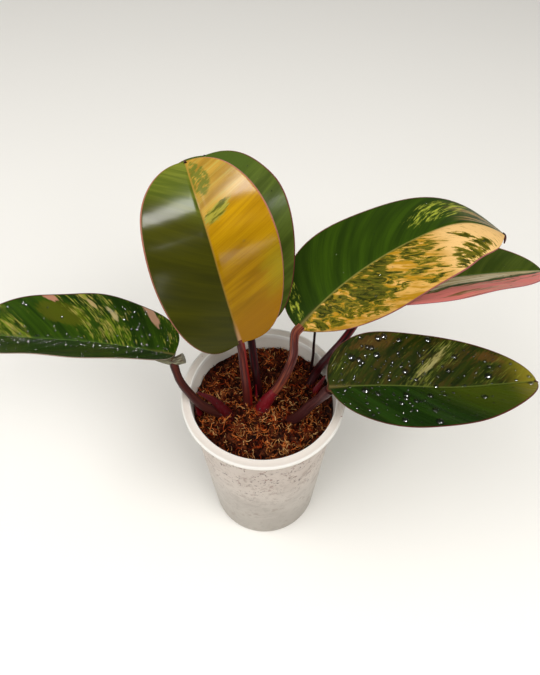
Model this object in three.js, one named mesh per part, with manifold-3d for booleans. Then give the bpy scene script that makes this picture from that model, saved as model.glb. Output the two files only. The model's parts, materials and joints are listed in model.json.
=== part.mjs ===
// A young congo rojo philodendron in a frosted plastic cup pot.
// Millimetres, +Z up. The origin is the middle of the pot's flat underside.
// The plant leans out to -X and +X, and the open side of the group faces -Y.

import * as THREE from 'three';
import { mergeVertices } from 'three/addons/utils/BufferGeometryUtils.js';
import Module from 'manifold-3d';

// Driving dimensions of the pot

const POT_HEIGHT = 124;
const RIM_RADIUS = 45;
const MOUTH_RADIUS = 40;
const BASE_RADIUS = 34;
const WALL = 1.2;
const FLOOR = 1.6;
const FLANGE = 1.2;
const LIP_DROP = 3;
const EDGE_BEVEL = 0.6;
const CORNER_RADIUS = 3.5;
const DRAIN_HOLES = 6;
const DRAIN_RADIUS = 3;
const DRAIN_CIRCLE = 21;

// Driving dimensions of the growing mix

const MIX_LEVEL = 112;
const MIX_CROWN = 3;
const MIX_RELIEF = 2.2;
const MIX_LUMP_SIZE = 7;
const MIX_SEED = 11;
const MIX_SHOULDER = 2;

// The gap that touching pieces keep, that of a stalk under its blade, the growth of a hole over what stands in
// it, and how far a stalk that comes up beneath a blade reaches into the keel before it is cut clear

const GAP = 0.3;
const SEAT_GAP = 0.5;
const HOLE_GROWTH = 0.7;
const KEEL_REACH = 0.5;

// Driving dimensions of the blades

const BLADE_THICKNESS = 0.8;
const KEEL_DEPTH_BASE = 2.8;
const KEEL_DEPTH_TIP = 0.4;
const KEEL_HALF_WIDTH = 1.9;
const TIP_HALF_WIDTH = 0.5;
const VEIN_SWEEP = 0.18;
const VEIN_LAG = 1.35;
const LOBE_ANGLE = 0.55;
const MARGIN_WAVE = 0.7;
const BEND_SPAN = 0.5;
const ROWS = 20;
const COLUMNS = 6;
const COLUMN_CROWDING = 1.5;
const MIDRIB_STEPS = 40;

// The six leaves. base is where the midrib leaves the stalk. heading, rise and roll turn it there, in
// degrees. bend is the droop of the tip, gathered round bendAt, a share of the length. arch, swing and twist
// are spread along the whole midrib. left and right are the half widths, seen from the base to the tip.

const LEAVES = [
  {
    name: 'a',
    base: [-46.5, 8, 148],
    heading: 168, rise: 4, roll: -20, bend: -8, bendAt: 0.68, arch: 21, swing: 0, twist: 9,
    length: 120, left: 31, right: 32, foldLeft: 15, foldRight: 15, curlLeft: 16, curlRight: 8,
    lobeLeft: 0.016, lobeRight: 0.016, baseRound: 0.79, tipRound: 0.9, widest: 1.09, waves: 2.5,
    color: 0x3d5f22,
  },
  {
    name: 'b',
    base: [-11.6, 11.8, 153],
    heading: 134, rise: 72, roll: 19, bend: 50, bendAt: 0.63, arch: 17, swing: 7, twist: 10,
    length: 105.5, left: 31.5, right: 32, foldLeft: 5, foldRight: 6, curlLeft: -3, curlRight: -2,
    lobeLeft: 0.032, lobeRight: 0.032, baseRound: 0.77, tipRound: 0.83, widest: 1.12, waves: 2,
    color: 0x6f6a1f,
  },
  {
    name: 'c',
    base: [-7, 21.7, 155],
    heading: 106, rise: 62, roll: -1, bend: 54, bendAt: 0.45, arch: 17, swing: -1, twist: 3,
    length: 117, left: 31, right: 31, foldLeft: 8, foldRight: 8, curlLeft: 0, curlRight: 0,
    lobeLeft: 0.03, lobeRight: 0.03, baseRound: 0.7, tipRound: 0.84, widest: 1.0, waves: 2,
    color: 0x45661f,
  },
  {
    name: 'd',
    base: [18.6, 20, 155.5],
    heading: 48, rise: 19, roll: -4, bend: 53, bendAt: 0.86, arch: 12.5, swing: 41, twist: 56,
    length: 133, left: 37, right: 30, foldLeft: 11, foldRight: -23, curlLeft: 6, curlRight: -43,
    lobeLeft: -0.02, lobeRight: -0.063, baseRound: 0.77, tipRound: 0.56, widest: 0.91, waves: 2,
    color: 0x7d8a3a,
  },
  {
    name: 'e',
    base: [62.4, 47.4, 149.2],
    heading: 27, rise: -4, roll: 9, bend: -4, bendAt: 0.68, arch: 13, swing: 17, twist: 8,
    length: 115.5, left: 30.8, right: 30.8, foldLeft: 13, foldRight: 14, curlLeft: 0, curlRight: 0,
    lobeLeft: 0.03, lobeRight: 0.03, baseRound: 0.71, tipRound: 0.97, widest: 1.0, waves: 2,
    color: 0x8a6a52,
  },
  {
    name: 'f',
    base: [33.3, -13.3, 150],
    heading: 17, rise: -18, roll: -5, bend: -18, bendAt: 0.62, arch: -3, swing: 20, twist: 20,
    length: 119, left: 33.5, right: 33, foldLeft: 13, foldRight: 12, curlLeft: 3, curlRight: 3,
    lobeLeft: 0.0, lobeRight: 0.0, baseRound: 0.92, tipRound: 1.06, widest: 1.12, waves: 2,
    color: 0x2f4a1c,
  },
];

// Stalk paths, from the stem up to where the leaf takes over. way says how the stalk meets the blade:
// 'behind' runs into the end of the keel, 'beneath' comes up under it. foot and top are radii.

const STALKS = {
  a: {
    path: [
      [-14, -5, 102], [-20, -7.5, 112], [-27, -8.8, 119],
      [-33, -8, 124], [-38.5, -5.2, 129.6], [-44, -1, 137.5],
    ],
    way: 'beneath', foot: 2.9, top: 2.0, reach: 0.45,
  },
  b: {
    path: [[-10, -2, 102], [-8.8, -1.4, 113], [-8.9, 0.2, 126], [-10, 4.6, 137]],
    way: 'behind', foot: 2.9, top: 2.1, reach: 0.35,
  },
  c: {
    path: [[-4, 1, 102], [-2.8, 3.8, 112], [-3, 5, 121], [-4.5, 9.4, 135]],
    way: 'behind', foot: 2.5, top: 2.1, reach: 0.35,
  },
  d: {
    path: [
      [1, -3, 102], [-2.2, -6.4, 112], [0.6, -4.6, 119.5],
      [5.2, -2.4, 127], [9.9, 0.6, 134], [15.6, 6.6, 148],
    ],
    way: 'behind', foot: 2.7, top: 2.3, reach: 0.3,
  },
  e: {
    path: [
      [17, 6, 102], [25.5, 11, 112], [30, 16, 120.5], [32.6, 17, 126],
      [36.8, 19.6, 131], [43, 24, 137], [54, 37.5, 143],
    ],
    way: 'behind', foot: 2.7, top: 2.0, reach: 0.35,
  },
  f: {
    path: [[9, 0, 102], [14.6, -11, 113], [19.8, -13.6, 123], [24.6, -13.2, 132], [29.5, -13.8, 141]],
    way: 'beneath', foot: 3.3, top: 2.3, reach: 0.45,
  },
};

// Sheaths: open channels round or beside the stalks, each drawn out to a point. facing is where the back
// looks, and spread is half the angle of the channel at its foot, in degrees.

const SHEATHS = {
  sheath_a: {
    path: [[-16, -10.5, 108.5], [-21, -8.2, 118], [-28, -5.6, 126.6], [-35.2, -4.6, 132]],
    facing: [0.3, -1, 1], radius: 2.4, spread: 95, wall: 0.8, reach: 0.6, beside: 'a',
  },
  sheath_d: {
    path: [[-2.1, -6.4, 110], [-2, -6.3, 112.5], [0.6, -4.6, 119.5], [5.2, -2.4, 127], [8.6, -0.4, 132]],
    facing: [-0.3, -1, 0.3], radius: 3.1, spread: 115, wall: 0.9, reach: 0.5, beside: 'd',
  },
  sheath_e: {
    path: [[27.5, 6.6, 107], [29.5, 9.2, 112.5], [34.2, 13.8, 121]],
    facing: [0.6, -1, 0.4], radius: 2.2, spread: 90, wall: 0.8, reach: 0.7, beside: 'e',
  },
  sheath_small: {
    path: [[-34.5, -6.5, 106], [-36.2, -5.8, 114], [-37.4, -5, 120]],
    facing: [0.5, -1, 0.5], radius: 1.3, spread: 80, wall: 0.8, reach: 0.8,
  },
};

const SHEATH_TIP_SPREAD = 20;
const SHEATH_NARROWING = 0.55;
const SHEATH_CLOSING = 1.6;

// The new shoot's spike, and the thin dry stalk of an older leaf

const SHOOT = {
  path: [[-4.6, -2.2, 103], [-4.2, -0.9, 112], [-3.9, 0.9, 120], [-4, 2.6, 127.5]],
  foot: 1.6, top: 0.3, reach: 0.7,
};

const DRY_STALK = {
  path: [[26, 21, 107], [27.5, 23, 113], [28.3, 24.6, 124], [28.3, 26.2, 133], [28.5, 28.6, 141]],
  foot: 1.0, top: 0.7, reach: 0.45,
};

// The stem creeps through the mix and holds the stalks. Its roots go down and out. endShare is the stem's
// radius at its ends as a share of its middle.

const STEM = {
  path: [[-19, -6, 100], [-8, -2, 102], [6, 0, 102], [20, 7, 100]],
  radius: 5.5, endShare: 0.35,
};
const ROOTS = [
  { path: [[-2, 0, 100], [-1, 1, 84], [2, -1, 60]], foot: 5, top: 2 },
  { path: [[-12, -4, 99], [-20, -6, 84], [-24, -4, 58]], foot: 2.4, top: 1 },
  { path: [[-6, 0, 99], [-10, 12, 82], [-14, 22, 56]], foot: 2.2, top: 0.9 },
  { path: [[15, 5, 98], [23, 4, 80], [25, -4, 54]], foot: 2.3, top: 0.9 },
  { path: [[3, -1, 98], [5, -14, 80], [2, -22, 52]], foot: 2.2, top: 0.9 },
];

// Base colours and roughness of the pieces that are not blades

const FINISHES = {
  stalk: { color: 0x4a1f22, roughness: 0.4 },
  sheath: { color: 0x7a1526, roughness: 0.45 },
  dry: { color: 0x33191b, roughness: 0.6 },
  stem: { color: 0x6b5a3a, roughness: 0.8 },
  mix: { color: 0x4a2c1a, roughness: 0.95 },
  pot: { color: 0xc8bfb8, roughness: 0.35 },
};
const BLADE_ROUGHNESS = 0.35;

// How finely round things are faceted

const POT_SIDES = 48;
const MIX_RINGS = 11;
const STALK_SIDES = 8;
const STALK_STEPS = 12;
const HOLE_STEPS = 4;
const SHEATH_SIDES = 5;
const SHEATH_STEPS = 7;
const STEM_SIDES = 8;
const STEM_STEPS = 7;
const ROOT_SIDES = 5;
const ROOT_STEPS = 4;

const wasm = await Module();
wasm.setup();

const radians = THREE.MathUtils.degToRad;
const lerp = THREE.MathUtils.lerp;
const vector = ([x, y, z]) => new THREE.Vector3(x, y, z);

// Solids and meshes

function geometryFrom(points, triangles) {
  const geometry = new THREE.BufferGeometry();
  const values = points.flatMap((point) => point.toArray());
  geometry.setAttribute('position', new THREE.Float32BufferAttribute(values, 3));
  geometry.setIndex(triangles.flat());
  return geometry;
}

function volumeOf(positions, triangles) {
  const corner = (index) => new THREE.Vector3().fromArray(positions, 3 * index);
  return triangles.reduce((sum, [a, b, c]) => sum + corner(a).dot(corner(b).cross(corner(c))) / 6, 0);
}

function solidFrom(geometry) {
  geometry.deleteAttribute('normal');
  geometry.deleteAttribute('uv');
  const merged = mergeVertices(geometry, 1e-4);
  const positions = merged.getAttribute('position').array;
  const index = merged.getIndex().array;
  const triangles = [];
  for (let i = 0; i < index.length; i += 3) {
    const [a, b, c] = index.slice(i, i + 3);
    if (a !== b && b !== c && c !== a) triangles.push([a, b, c]);
  }
  if (volumeOf(positions, triangles) < 0) triangles.forEach((triangle) => triangle.reverse());
  return new wasm.Manifold(new wasm.Mesh({
    numProp: 3,
    vertProperties: new Float32Array(positions),
    triVerts: new Uint32Array(triangles.flat()),
  }));
}

function meshFrom(name, solid, finish) {
  const { vertProperties, triVerts } = solid.getMesh();
  const geometry = new THREE.BufferGeometry();
  geometry.setAttribute('position', new THREE.BufferAttribute(new Float32Array(vertProperties), 3));
  geometry.setIndex(new THREE.BufferAttribute(new Uint32Array(triVerts), 1));
  geometry.computeVertexNormals();
  const mesh = new THREE.Mesh(geometry, new THREE.MeshStandardMaterial({ ...finish, metalness: 0 }));
  mesh.name = name;
  return mesh;
}

// A path with both ends drawn out, so that what is cut with it leaves a gap there too

function lengthened(path, growth) {
  const points = path.map(vector);
  const last = points.length - 1;
  const start = points[0].clone().sub(points[1]).setLength(growth);
  const end = points[last].clone().sub(points[last - 1]).setLength(growth);
  points[0].add(start);
  points[last].add(end);
  return points;
}

// A section swept along a curve: section(t) lists [across, out] pairs, and facing says where out points.
// growth lengthens both ends, and reach stops short of the far end.

function sweep(path, facing, steps, section, growth = 0, reach = 1) {
  const curve = new THREE.CatmullRomCurve3(lengthened(path, growth), false, 'centripetal');
  const face = vector(facing).normalize();
  const points = [];
  const triangles = [];
  let count = 0;
  for (let i = 0; i <= steps; i += 1) {
    const t = (reach * i) / steps;
    const centre = curve.getPointAt(t);
    const along = curve.getTangentAt(t);
    const across = new THREE.Vector3().crossVectors(along, face).normalize();
    const out = new THREE.Vector3().crossVectors(across, along);
    const ring = section(t);
    count = ring.length;
    for (const [u, v] of ring) {
      points.push(centre.clone().addScaledVector(across, u).addScaledVector(out, v));
    }
  }
  for (let i = 0; i < steps; i += 1) {
    for (let j = 0; j < count; j += 1) {
      const a = i * count + j;
      const b = i * count + ((j + 1) % count);
      triangles.push([a, b, b + count], [a, b + count, a + count]);
    }
  }
  const capAt = (t) => {
    const outline = section(t).map(([u, v]) => new THREE.Vector2(u, v));
    return THREE.ShapeUtils.triangulateShape(outline, []);
  };
  capAt(0).forEach(([a, b, c]) => triangles.push([c, b, a]));
  const last = steps * count;
  capAt(reach).forEach(([a, b, c]) => triangles.push([a + last, b + last, c + last]));
  return solidFrom(geometryFrom(points, triangles));
}

// The largest body of a cut solid, without the chips a cut may leave beside it

function largestBody(solid) {
  return solid.decompose().reduce((best, body) => (body.volume() > best.volume() ? body : best));
}

function circle(radius, sides) {
  return Array.from({ length: sides }, (_, i) => {
    const angle = (2 * Math.PI * i) / sides;
    return [radius * Math.cos(angle), radius * Math.sin(angle)];
  });
}

function taperedTube({ path, foot, top }, sides, steps, growth = 0, reach = 1) {
  return sweep(path, [0.2, -1, 0.1], steps, (t) => circle(lerp(foot, top, t) + growth, sides), growth, reach);
}

// The pot: a lathed cup with a flange, a turned-down lip and drain holes through the floor

function innerRadius(z) {
  return lerp(BASE_RADIUS - WALL, MOUTH_RADIUS, z / POT_HEIGHT);
}

function makePot() {
  const corner = [0, 1, 2, 3].map((step) => {
    const angle = radians(-90 + 30 * step);
    return [
      BASE_RADIUS - CORNER_RADIUS + CORNER_RADIUS * Math.cos(angle),
      CORNER_RADIUS + CORNER_RADIUS * Math.sin(angle),
    ];
  });
  const flangeFoot = POT_HEIGHT - FLANGE;
  const profile = [
    [0, 0],
    ...corner,
    [innerRadius(flangeFoot) + WALL, flangeFoot],
    [RIM_RADIUS - WALL, flangeFoot],
    [RIM_RADIUS - WALL, POT_HEIGHT - LIP_DROP],
    [RIM_RADIUS, POT_HEIGHT - LIP_DROP],
    [RIM_RADIUS, POT_HEIGHT - EDGE_BEVEL],
    [RIM_RADIUS - EDGE_BEVEL, POT_HEIGHT],
    [MOUTH_RADIUS + EDGE_BEVEL, POT_HEIGHT],
    [MOUTH_RADIUS, POT_HEIGHT - EDGE_BEVEL],
    [innerRadius(CORNER_RADIUS + FLOOR), CORNER_RADIUS + FLOOR],
    [innerRadius(0) - CORNER_RADIUS * 0.7, FLOOR],
    [0, FLOOR],
  ];
  const lathe = new THREE.LatheGeometry(profile.map(([r, z]) => new THREE.Vector2(r, z)), POT_SIDES);
  lathe.rotateX(Math.PI / 2);
  let pot = solidFrom(lathe);
  for (let i = 0; i < DRAIN_HOLES; i += 1) {
    const angle = (2 * Math.PI * i) / DRAIN_HOLES;
    const drill = new THREE.CylinderGeometry(DRAIN_RADIUS, DRAIN_RADIUS, 4 * FLOOR, 12);
    drill.rotateX(Math.PI / 2);
    drill.translate(DRAIN_CIRCLE * Math.cos(angle), DRAIN_CIRCLE * Math.sin(angle), 0);
    pot = pot.subtract(solidFrom(drill));
  }
  return pot;
}

// The growing mix: a plug of the pot's inside, with a lumpy crowned top

function lattice(i, j) {
  const value = Math.sin(i * 127.1 + j * 311.7 + MIX_SEED) * 43758.5453;
  return value - Math.floor(value);
}

function lumps(x, y) {
  const i = Math.floor(x);
  const j = Math.floor(y);
  const u = THREE.MathUtils.smoothstep(x - i, 0, 1);
  const v = THREE.MathUtils.smoothstep(y - j, 0, 1);
  const near = lerp(lattice(i, j), lattice(i + 1, j), u);
  const far = lerp(lattice(i, j + 1), lattice(i + 1, j + 1), u);
  return lerp(near, far, v);
}

function mixTop(x, y) {
  const share = Math.min(Math.hypot(x, y) / innerRadius(MIX_LEVEL), 1);
  const coarse = lumps(x / MIX_LUMP_SIZE, y / MIX_LUMP_SIZE) - 0.5;
  const fine = lumps((2.3 * x) / MIX_LUMP_SIZE + 9, (2.3 * y) / MIX_LUMP_SIZE) - 0.5;
  return MIX_LEVEL + MIX_CROWN * (1 - share * share) + MIX_RELIEF * (coarse + 0.6 * fine);
}

function makeMixPlug() {
  const radius = innerRadius(MIX_LEVEL) - GAP;
  const foot = FLOOR + GAP;
  const footRadius = innerRadius(0) - CORNER_RADIUS;
  const shoulder = CORNER_RADIUS + FLOOR + MIX_SHOULDER;
  const points = [new THREE.Vector3(0, 0, mixTop(0, 0))];
  const ringAt = (r, height) => {
    for (let j = 0; j < POT_SIDES; j += 1) {
      const angle = (2 * Math.PI * j) / POT_SIDES;
      const x = r * Math.cos(angle);
      const y = r * Math.sin(angle);
      points.push(new THREE.Vector3(x, y, height(x, y)));
    }
  };
  for (let ring = 1; ring <= MIX_RINGS; ring += 1) ringAt((radius * ring) / MIX_RINGS, mixTop);
  ringAt(innerRadius(shoulder) - GAP, () => shoulder);
  ringAt(footRadius, () => foot);
  const rings = MIX_RINGS + 2;
  const last = points.length;
  points.push(new THREE.Vector3(0, 0, foot));
  const triangles = [];
  for (let j = 0; j < POT_SIDES; j += 1) {
    const next = (j + 1) % POT_SIDES;
    triangles.push([0, 1 + j, 1 + next]);
    for (let ring = 0; ring < rings - 1; ring += 1) {
      const a = 1 + ring * POT_SIDES + j;
      const b = 1 + ring * POT_SIDES + next;
      triangles.push([a, a + POT_SIDES, b + POT_SIDES], [a, b + POT_SIDES, b]);
    }
    const foot0 = 1 + (rings - 1) * POT_SIDES;
    triangles.push([foot0 + j, last, foot0 + next]);
  }
  return solidFrom(geometryFrom(points, triangles));
}

// The stem with its roots, grown by a margin where it has to leave a hole

function makeStem(growth = 0) {
  const bulge = (t) => STEM.radius * Math.max(Math.sqrt(1 - (2 * t - 1) ** 6), STEM.endShare) + growth;
  let stem = sweep(STEM.path, [0, -1, 0.2], STEM_STEPS, (t) => circle(bulge(t), STEM_SIDES), growth);
  for (const root of ROOTS) stem = stem.add(taperedTube(root, ROOT_SIDES, ROOT_STEPS, growth));
  return stem;
}

// The blades. The midrib is walked in short steps that carry its tangent, its right side and its normal.

function walkMidrib(leaf) {
  const heading = radians(leaf.heading);
  const rise = radians(leaf.rise);
  const roll = radians(leaf.roll);
  const forward = Math.cos(rise);
  let tangent = vector([forward * Math.cos(heading), forward * Math.sin(heading), Math.sin(rise)]);
  const level = vector([Math.sin(heading), -Math.cos(heading), 0]);
  const upright = level.clone().cross(tangent);
  let side = level.clone().multiplyScalar(Math.cos(roll)).addScaledVector(upright, Math.sin(roll));
  let normal = upright.clone().multiplyScalar(Math.cos(roll)).addScaledVector(level, -Math.sin(roll));
  let point = vector(leaf.base);
  const frames = [{ point, tangent, side, normal }];
  for (let i = 0; i < MIDRIB_STEPS; i += 1) {
    const away = ((i + 0.5) / MIDRIB_STEPS - leaf.bendAt) / BEND_SPAN;
    const gathered = Math.abs(away) < 0.5 ? (1 + Math.cos(2 * Math.PI * away)) / BEND_SPAN : 0;
    const droop = radians(leaf.arch + leaf.bend * gathered) / MIDRIB_STEPS;
    const swing = radians(leaf.swing) / MIDRIB_STEPS;
    const twist = radians(leaf.twist) / MIDRIB_STEPS;
    const ahead = tangent.clone().addScaledVector(normal, -droop).addScaledVector(side, swing).normalize();
    const tilted = normal.clone().addScaledVector(tangent, droop).addScaledVector(side, -twist);
    side = ahead.clone().cross(tilted).normalize();
    normal = side.clone().cross(ahead);
    point = point.clone().addScaledVector(tangent.add(ahead), leaf.length / MIDRIB_STEPS / 2);
    tangent = ahead;
    frames.push({ point, tangent: tangent.clone(), side, normal });
  }
  return frames;
}

function frameAt(leaf, frames, distance) {
  const place = THREE.MathUtils.clamp(distance / leaf.length, 0, 1) * MIDRIB_STEPS;
  const i = Math.min(Math.floor(place), MIDRIB_STEPS - 1);
  const between = (key) => frames[i][key].clone().lerp(frames[i + 1][key], place - i);
  const over = distance - THREE.MathUtils.clamp(distance, 0, leaf.length);
  const tangent = between('tangent');
  const point = between('point').addScaledVector(tangent, over);
  return { point, tangent, side: between('side'), normal: between('normal') };
}

// One row of the blade at the angle theta, from 0 at the stalk to pi at the tip

function bladeRow(leaf, frames, theta, growth) {
  const share = (1 - Math.cos(theta)) / 2;
  const round = lerp(leaf.baseRound, leaf.tipRound, share);
  const station = share ** leaf.widest;
  const endHalf = lerp(KEEL_HALF_WIDTH, TIP_HALF_WIDTH, share);
  const lobeShare = 2 * Math.sin(theta) * Math.exp(-((theta / LOBE_ANGLE) ** 2));
  const veinStart = station - VEIN_SWEEP * Math.sin(theta) ** 2;
  const keel = lerp(KEEL_DEPTH_BASE, KEEL_DEPTH_TIP, station);
  const top = [];
  const bottom = [];
  for (let column = -COLUMNS; column <= COLUMNS; column += 1) {
    const hand = Math.sign(column);
    const out = (Math.abs(column) / COLUMNS) ** COLUMN_CROWDING;
    const onLeft = column < 0;
    const full = onLeft ? leaf.left : leaf.right;
    const half = Math.hypot(full * Math.sin(theta) ** round, endHalf) + growth;
    const fold = radians(onLeft ? leaf.foldLeft : leaf.foldRight);
    const curl = radians(onLeft ? leaf.curlLeft : leaf.curlRight) * out;
    const chord = half * out * (Math.abs(curl) < 1e-6 ? 1 : Math.sin(curl / 2) / (curl / 2));
    const across = chord * Math.cos(fold + curl / 2);
    const waved = Math.sin(theta) * Math.sin(2 * Math.PI * leaf.waves * share + hand);
    const wave = MARGIN_WAVE * out * out * waved;
    const lift = chord * Math.sin(fold + curl / 2) + wave;
    const lag = out ** VEIN_LAG;
    const lobe = lobeShare * (onLeft ? leaf.lobeLeft : leaf.lobeRight);
    const along = lerp(veinStart, station - lobe, lag) * leaf.length - growth * Math.cos(theta);
    const frame = frameAt(leaf, frames, along);
    const inner = Math.max(across - growth, 0);
    const depth = BLADE_THICKNESS + keel * Math.exp(-((inner / KEEL_HALF_WIDTH) ** 2));
    const surface = frame.point
      .addScaledVector(frame.side, hand * across)
      .addScaledVector(frame.normal, lift);
    top.push(surface.clone().addScaledVector(frame.normal, growth));
    bottom.push(surface.addScaledVector(frame.normal, -depth - growth));
  }
  return { top, bottom };
}

function makeBlade(leaf, growth = 0) {
  const frames = walkMidrib(leaf);
  const width = 2 * COLUMNS + 1;
  const points = [];
  for (let row = 0; row <= ROWS; row += 1) {
    const { top, bottom } = bladeRow(leaf, frames, (Math.PI * row) / ROWS, growth);
    points.push(...top, ...bottom);
  }
  const above = (row, column) => row * 2 * width + column;
  const below = (row, column) => above(row, column) + width;
  const triangles = [];
  const quad = (a, b, c, d) => triangles.push([a, b, c], [a, c, d]);
  for (let row = 0; row < ROWS; row += 1) {
    for (let column = 0; column < width - 1; column += 1) {
      quad(above(row, column), above(row, column + 1), above(row + 1, column + 1), above(row + 1, column));
      triangles.push([below(row, column), below(row + 1, column + 1), below(row, column + 1)]);
      triangles.push([below(row, column), below(row + 1, column), below(row + 1, column + 1)]);
    }
    quad(above(row + 1, 0), below(row + 1, 0), below(row, 0), above(row, 0));
    quad(above(row, width - 1), below(row, width - 1), below(row + 1, width - 1), above(row + 1, width - 1));
  }
  for (let column = 0; column < width - 1; column += 1) {
    quad(above(0, column), below(0, column), below(0, column + 1), above(0, column + 1));
    quad(above(ROWS, column + 1), below(ROWS, column + 1), below(ROWS, column), above(ROWS, column));
  }
  return solidFrom(geometryFrom(points, triangles));
}

// A stalk runs from inside the stem to the keel of its blade, and is cut clear of both

function stalkPath(leaf, stalk) {
  const { point, tangent, normal } = walkMidrib(leaf)[0];
  const depth = BLADE_THICKNESS + KEEL_DEPTH_BASE;
  if (stalk.way === 'beneath') {
    const seat = point.clone().addScaledVector(normal, KEEL_REACH - depth).addScaledVector(tangent, 1);
    return [...stalk.path, seat.toArray()];
  }
  const end = point.clone().addScaledVector(normal, -depth / 2).addScaledVector(tangent, -GAP);
  const approach = end.clone().addScaledVector(tangent, -3);
  return [...stalk.path, approach.toArray(), end.toArray()];
}

function makeStalk(leaf, growth = 0) {
  const stalk = STALKS[leaf.name];
  return taperedTube({ ...stalk, path: stalkPath(leaf, stalk) }, STALK_SIDES, STALK_STEPS, growth);
}

function makeHole(piece, path) {
  return taperedTube({ ...piece, path }, STALK_SIDES, HOLE_STEPS, HOLE_GROWTH, piece.reach);
}

function makeSheath({ path, facing, radius, spread, wall }) {
  return sweep(path, facing, SHEATH_STEPS, (t) => {
    const taper = 1 - SHEATH_NARROWING * t * t;
    const halfSpread = radians(lerp(spread, SHEATH_TIP_SPREAD, t ** SHEATH_CLOSING));
    const arc = (r) => Array.from({ length: SHEATH_SIDES + 1 }, (_, i) => {
      const angle = Math.PI / 2 - halfSpread + (2 * halfSpread * i) / SHEATH_SIDES;
      return [r * Math.cos(angle), r * Math.sin(angle)];
    });
    return [...arc((radius + wall) * taper), ...arc(radius * taper).reverse()];
  });
}

// Assembly

const leafNamed = (name) => LEAVES.find((leaf) => leaf.name === name);
const plant = new THREE.Group();
const stemHole = makeStem(HOLE_GROWTH);
const stemSeat = makeStem(GAP);
let plug = makeMixPlug().subtract(stemHole);

for (const leaf of LEAVES) {
  const stalk = STALKS[leaf.name];
  const stalkSolid = largestBody(makeStalk(leaf).subtract(stemSeat).subtract(makeBlade(leaf, SEAT_GAP)));
  plug = plug.subtract(makeHole(stalk, stalkPath(leaf, stalk)));
  const bladeFinish = { color: leaf.color, roughness: BLADE_ROUGHNESS };
  plant.add(meshFrom(`leaf_${leaf.name}`, makeBlade(leaf), bladeFinish));
  plant.add(meshFrom(`petiole_${leaf.name}`, stalkSolid, FINISHES.stalk));
}

for (const [name, sheath] of Object.entries(SHEATHS)) {
  const girth = sheath.radius + sheath.wall;
  plug = plug.subtract(makeHole({ foot: girth, top: girth, reach: sheath.reach }, sheath.path));
  let solid = makeSheath(sheath);
  if (sheath.beside) solid = solid.subtract(makeStalk(leafNamed(sheath.beside), SEAT_GAP));
  plant.add(meshFrom(name, largestBody(solid.subtract(stemSeat)), FINISHES.sheath));
}

const SPIKES = [['shoot', SHOOT, FINISHES.sheath], ['dry_stalk', DRY_STALK, FINISHES.dry]];
for (const [name, spike, finish] of SPIKES) {
  const solid = taperedTube(spike, STALK_SIDES, SHEATH_STEPS);
  plug = plug.subtract(makeHole(spike, spike.path));
  plant.add(meshFrom(name, largestBody(solid.subtract(stemSeat)), finish));
}

plant.add(meshFrom('stem', makeStem(), FINISHES.stem));
plant.add(meshFrom('soil', plug, FINISHES.mix));
plant.add(meshFrom('pot', makePot(), FINISHES.pot));

export default plant;
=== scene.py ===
import json
import math

import bmesh
import bpy
import numpy as np
from bpy.props import FloatProperty, FloatVectorProperty, IntProperty, PointerProperty
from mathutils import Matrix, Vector, noise

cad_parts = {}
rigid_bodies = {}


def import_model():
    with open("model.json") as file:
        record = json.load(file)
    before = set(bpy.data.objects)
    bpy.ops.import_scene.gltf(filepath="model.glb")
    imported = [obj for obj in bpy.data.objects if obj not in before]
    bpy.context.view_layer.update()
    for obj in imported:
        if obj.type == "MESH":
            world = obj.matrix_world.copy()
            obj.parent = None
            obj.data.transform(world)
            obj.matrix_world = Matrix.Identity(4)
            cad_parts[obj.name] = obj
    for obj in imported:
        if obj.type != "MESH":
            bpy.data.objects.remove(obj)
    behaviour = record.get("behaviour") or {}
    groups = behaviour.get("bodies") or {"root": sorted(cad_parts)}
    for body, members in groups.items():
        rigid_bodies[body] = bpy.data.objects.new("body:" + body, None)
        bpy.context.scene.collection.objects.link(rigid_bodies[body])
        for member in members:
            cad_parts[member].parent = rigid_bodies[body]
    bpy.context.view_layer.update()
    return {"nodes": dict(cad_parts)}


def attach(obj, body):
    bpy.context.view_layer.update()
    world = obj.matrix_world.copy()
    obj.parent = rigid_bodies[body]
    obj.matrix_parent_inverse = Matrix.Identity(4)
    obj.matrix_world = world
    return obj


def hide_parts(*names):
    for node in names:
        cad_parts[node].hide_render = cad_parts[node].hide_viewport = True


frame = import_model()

bl_info = {
    "name": "Congo rojo philodendron in a cup pot",
    "version": (1, 0, 0),
    "blender": (4, 5, 0),
    "location": "3D View > Sidebar > Philodendron",
    "description": "Dresses the packed philodendron with fine leaves, stalks, growing mix, pot and water",
    "category": "Object",
}

# Plain measures. Shapes are worked out in millimetres and stored in metres.

MM = 0.001

# The camera that the plant was measured with

CAMERA_PLACE = (0.00365, -0.1756, 0.4032)
CAMERA_PITCH = 37.39
CAMERA_LENS = 32.0
CAMERA_SENSOR = 36.0

# The pot, in millimetres, with the faces round it and round a drain hole, the distance at which two points
# are one, and the angle from which an edge is sharp

POT_HEIGHT = 124.0
RIM_RADIUS = 45.0
MOUTH_RADIUS = 40.0
BASE_RADIUS = 34.0
WALL = 1.2
FLOOR = 1.6
FLANGE = 1.2
FLANGE_DIP = 0.28
OUTER_BEAD = 1.6
INNER_BEAD = 1.5
LIP_DROP = 3.0
LIP_ROUNDING = 0.55
LIP_FILLET = 0.4
FLANGE_FILLET = 0.6
MOUTH_ROUNDING = 0.6
CORNER_RADIUS = 3.5
FOOT_RING = 4.0
FOOT_RECESS = 0.6
DRAIN_HOLES = 6
DRAIN_RADIUS = 3.0
DRAIN_CIRCLE = 21.0
POT_SIDES = 144
DRAIN_SIDES = 24
SAME_PLACE = 0.002
SHARP_DEGREES = 50

# The growing mix, in millimetres, with how its clods sink towards the wall, and the faces of its bed

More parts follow.
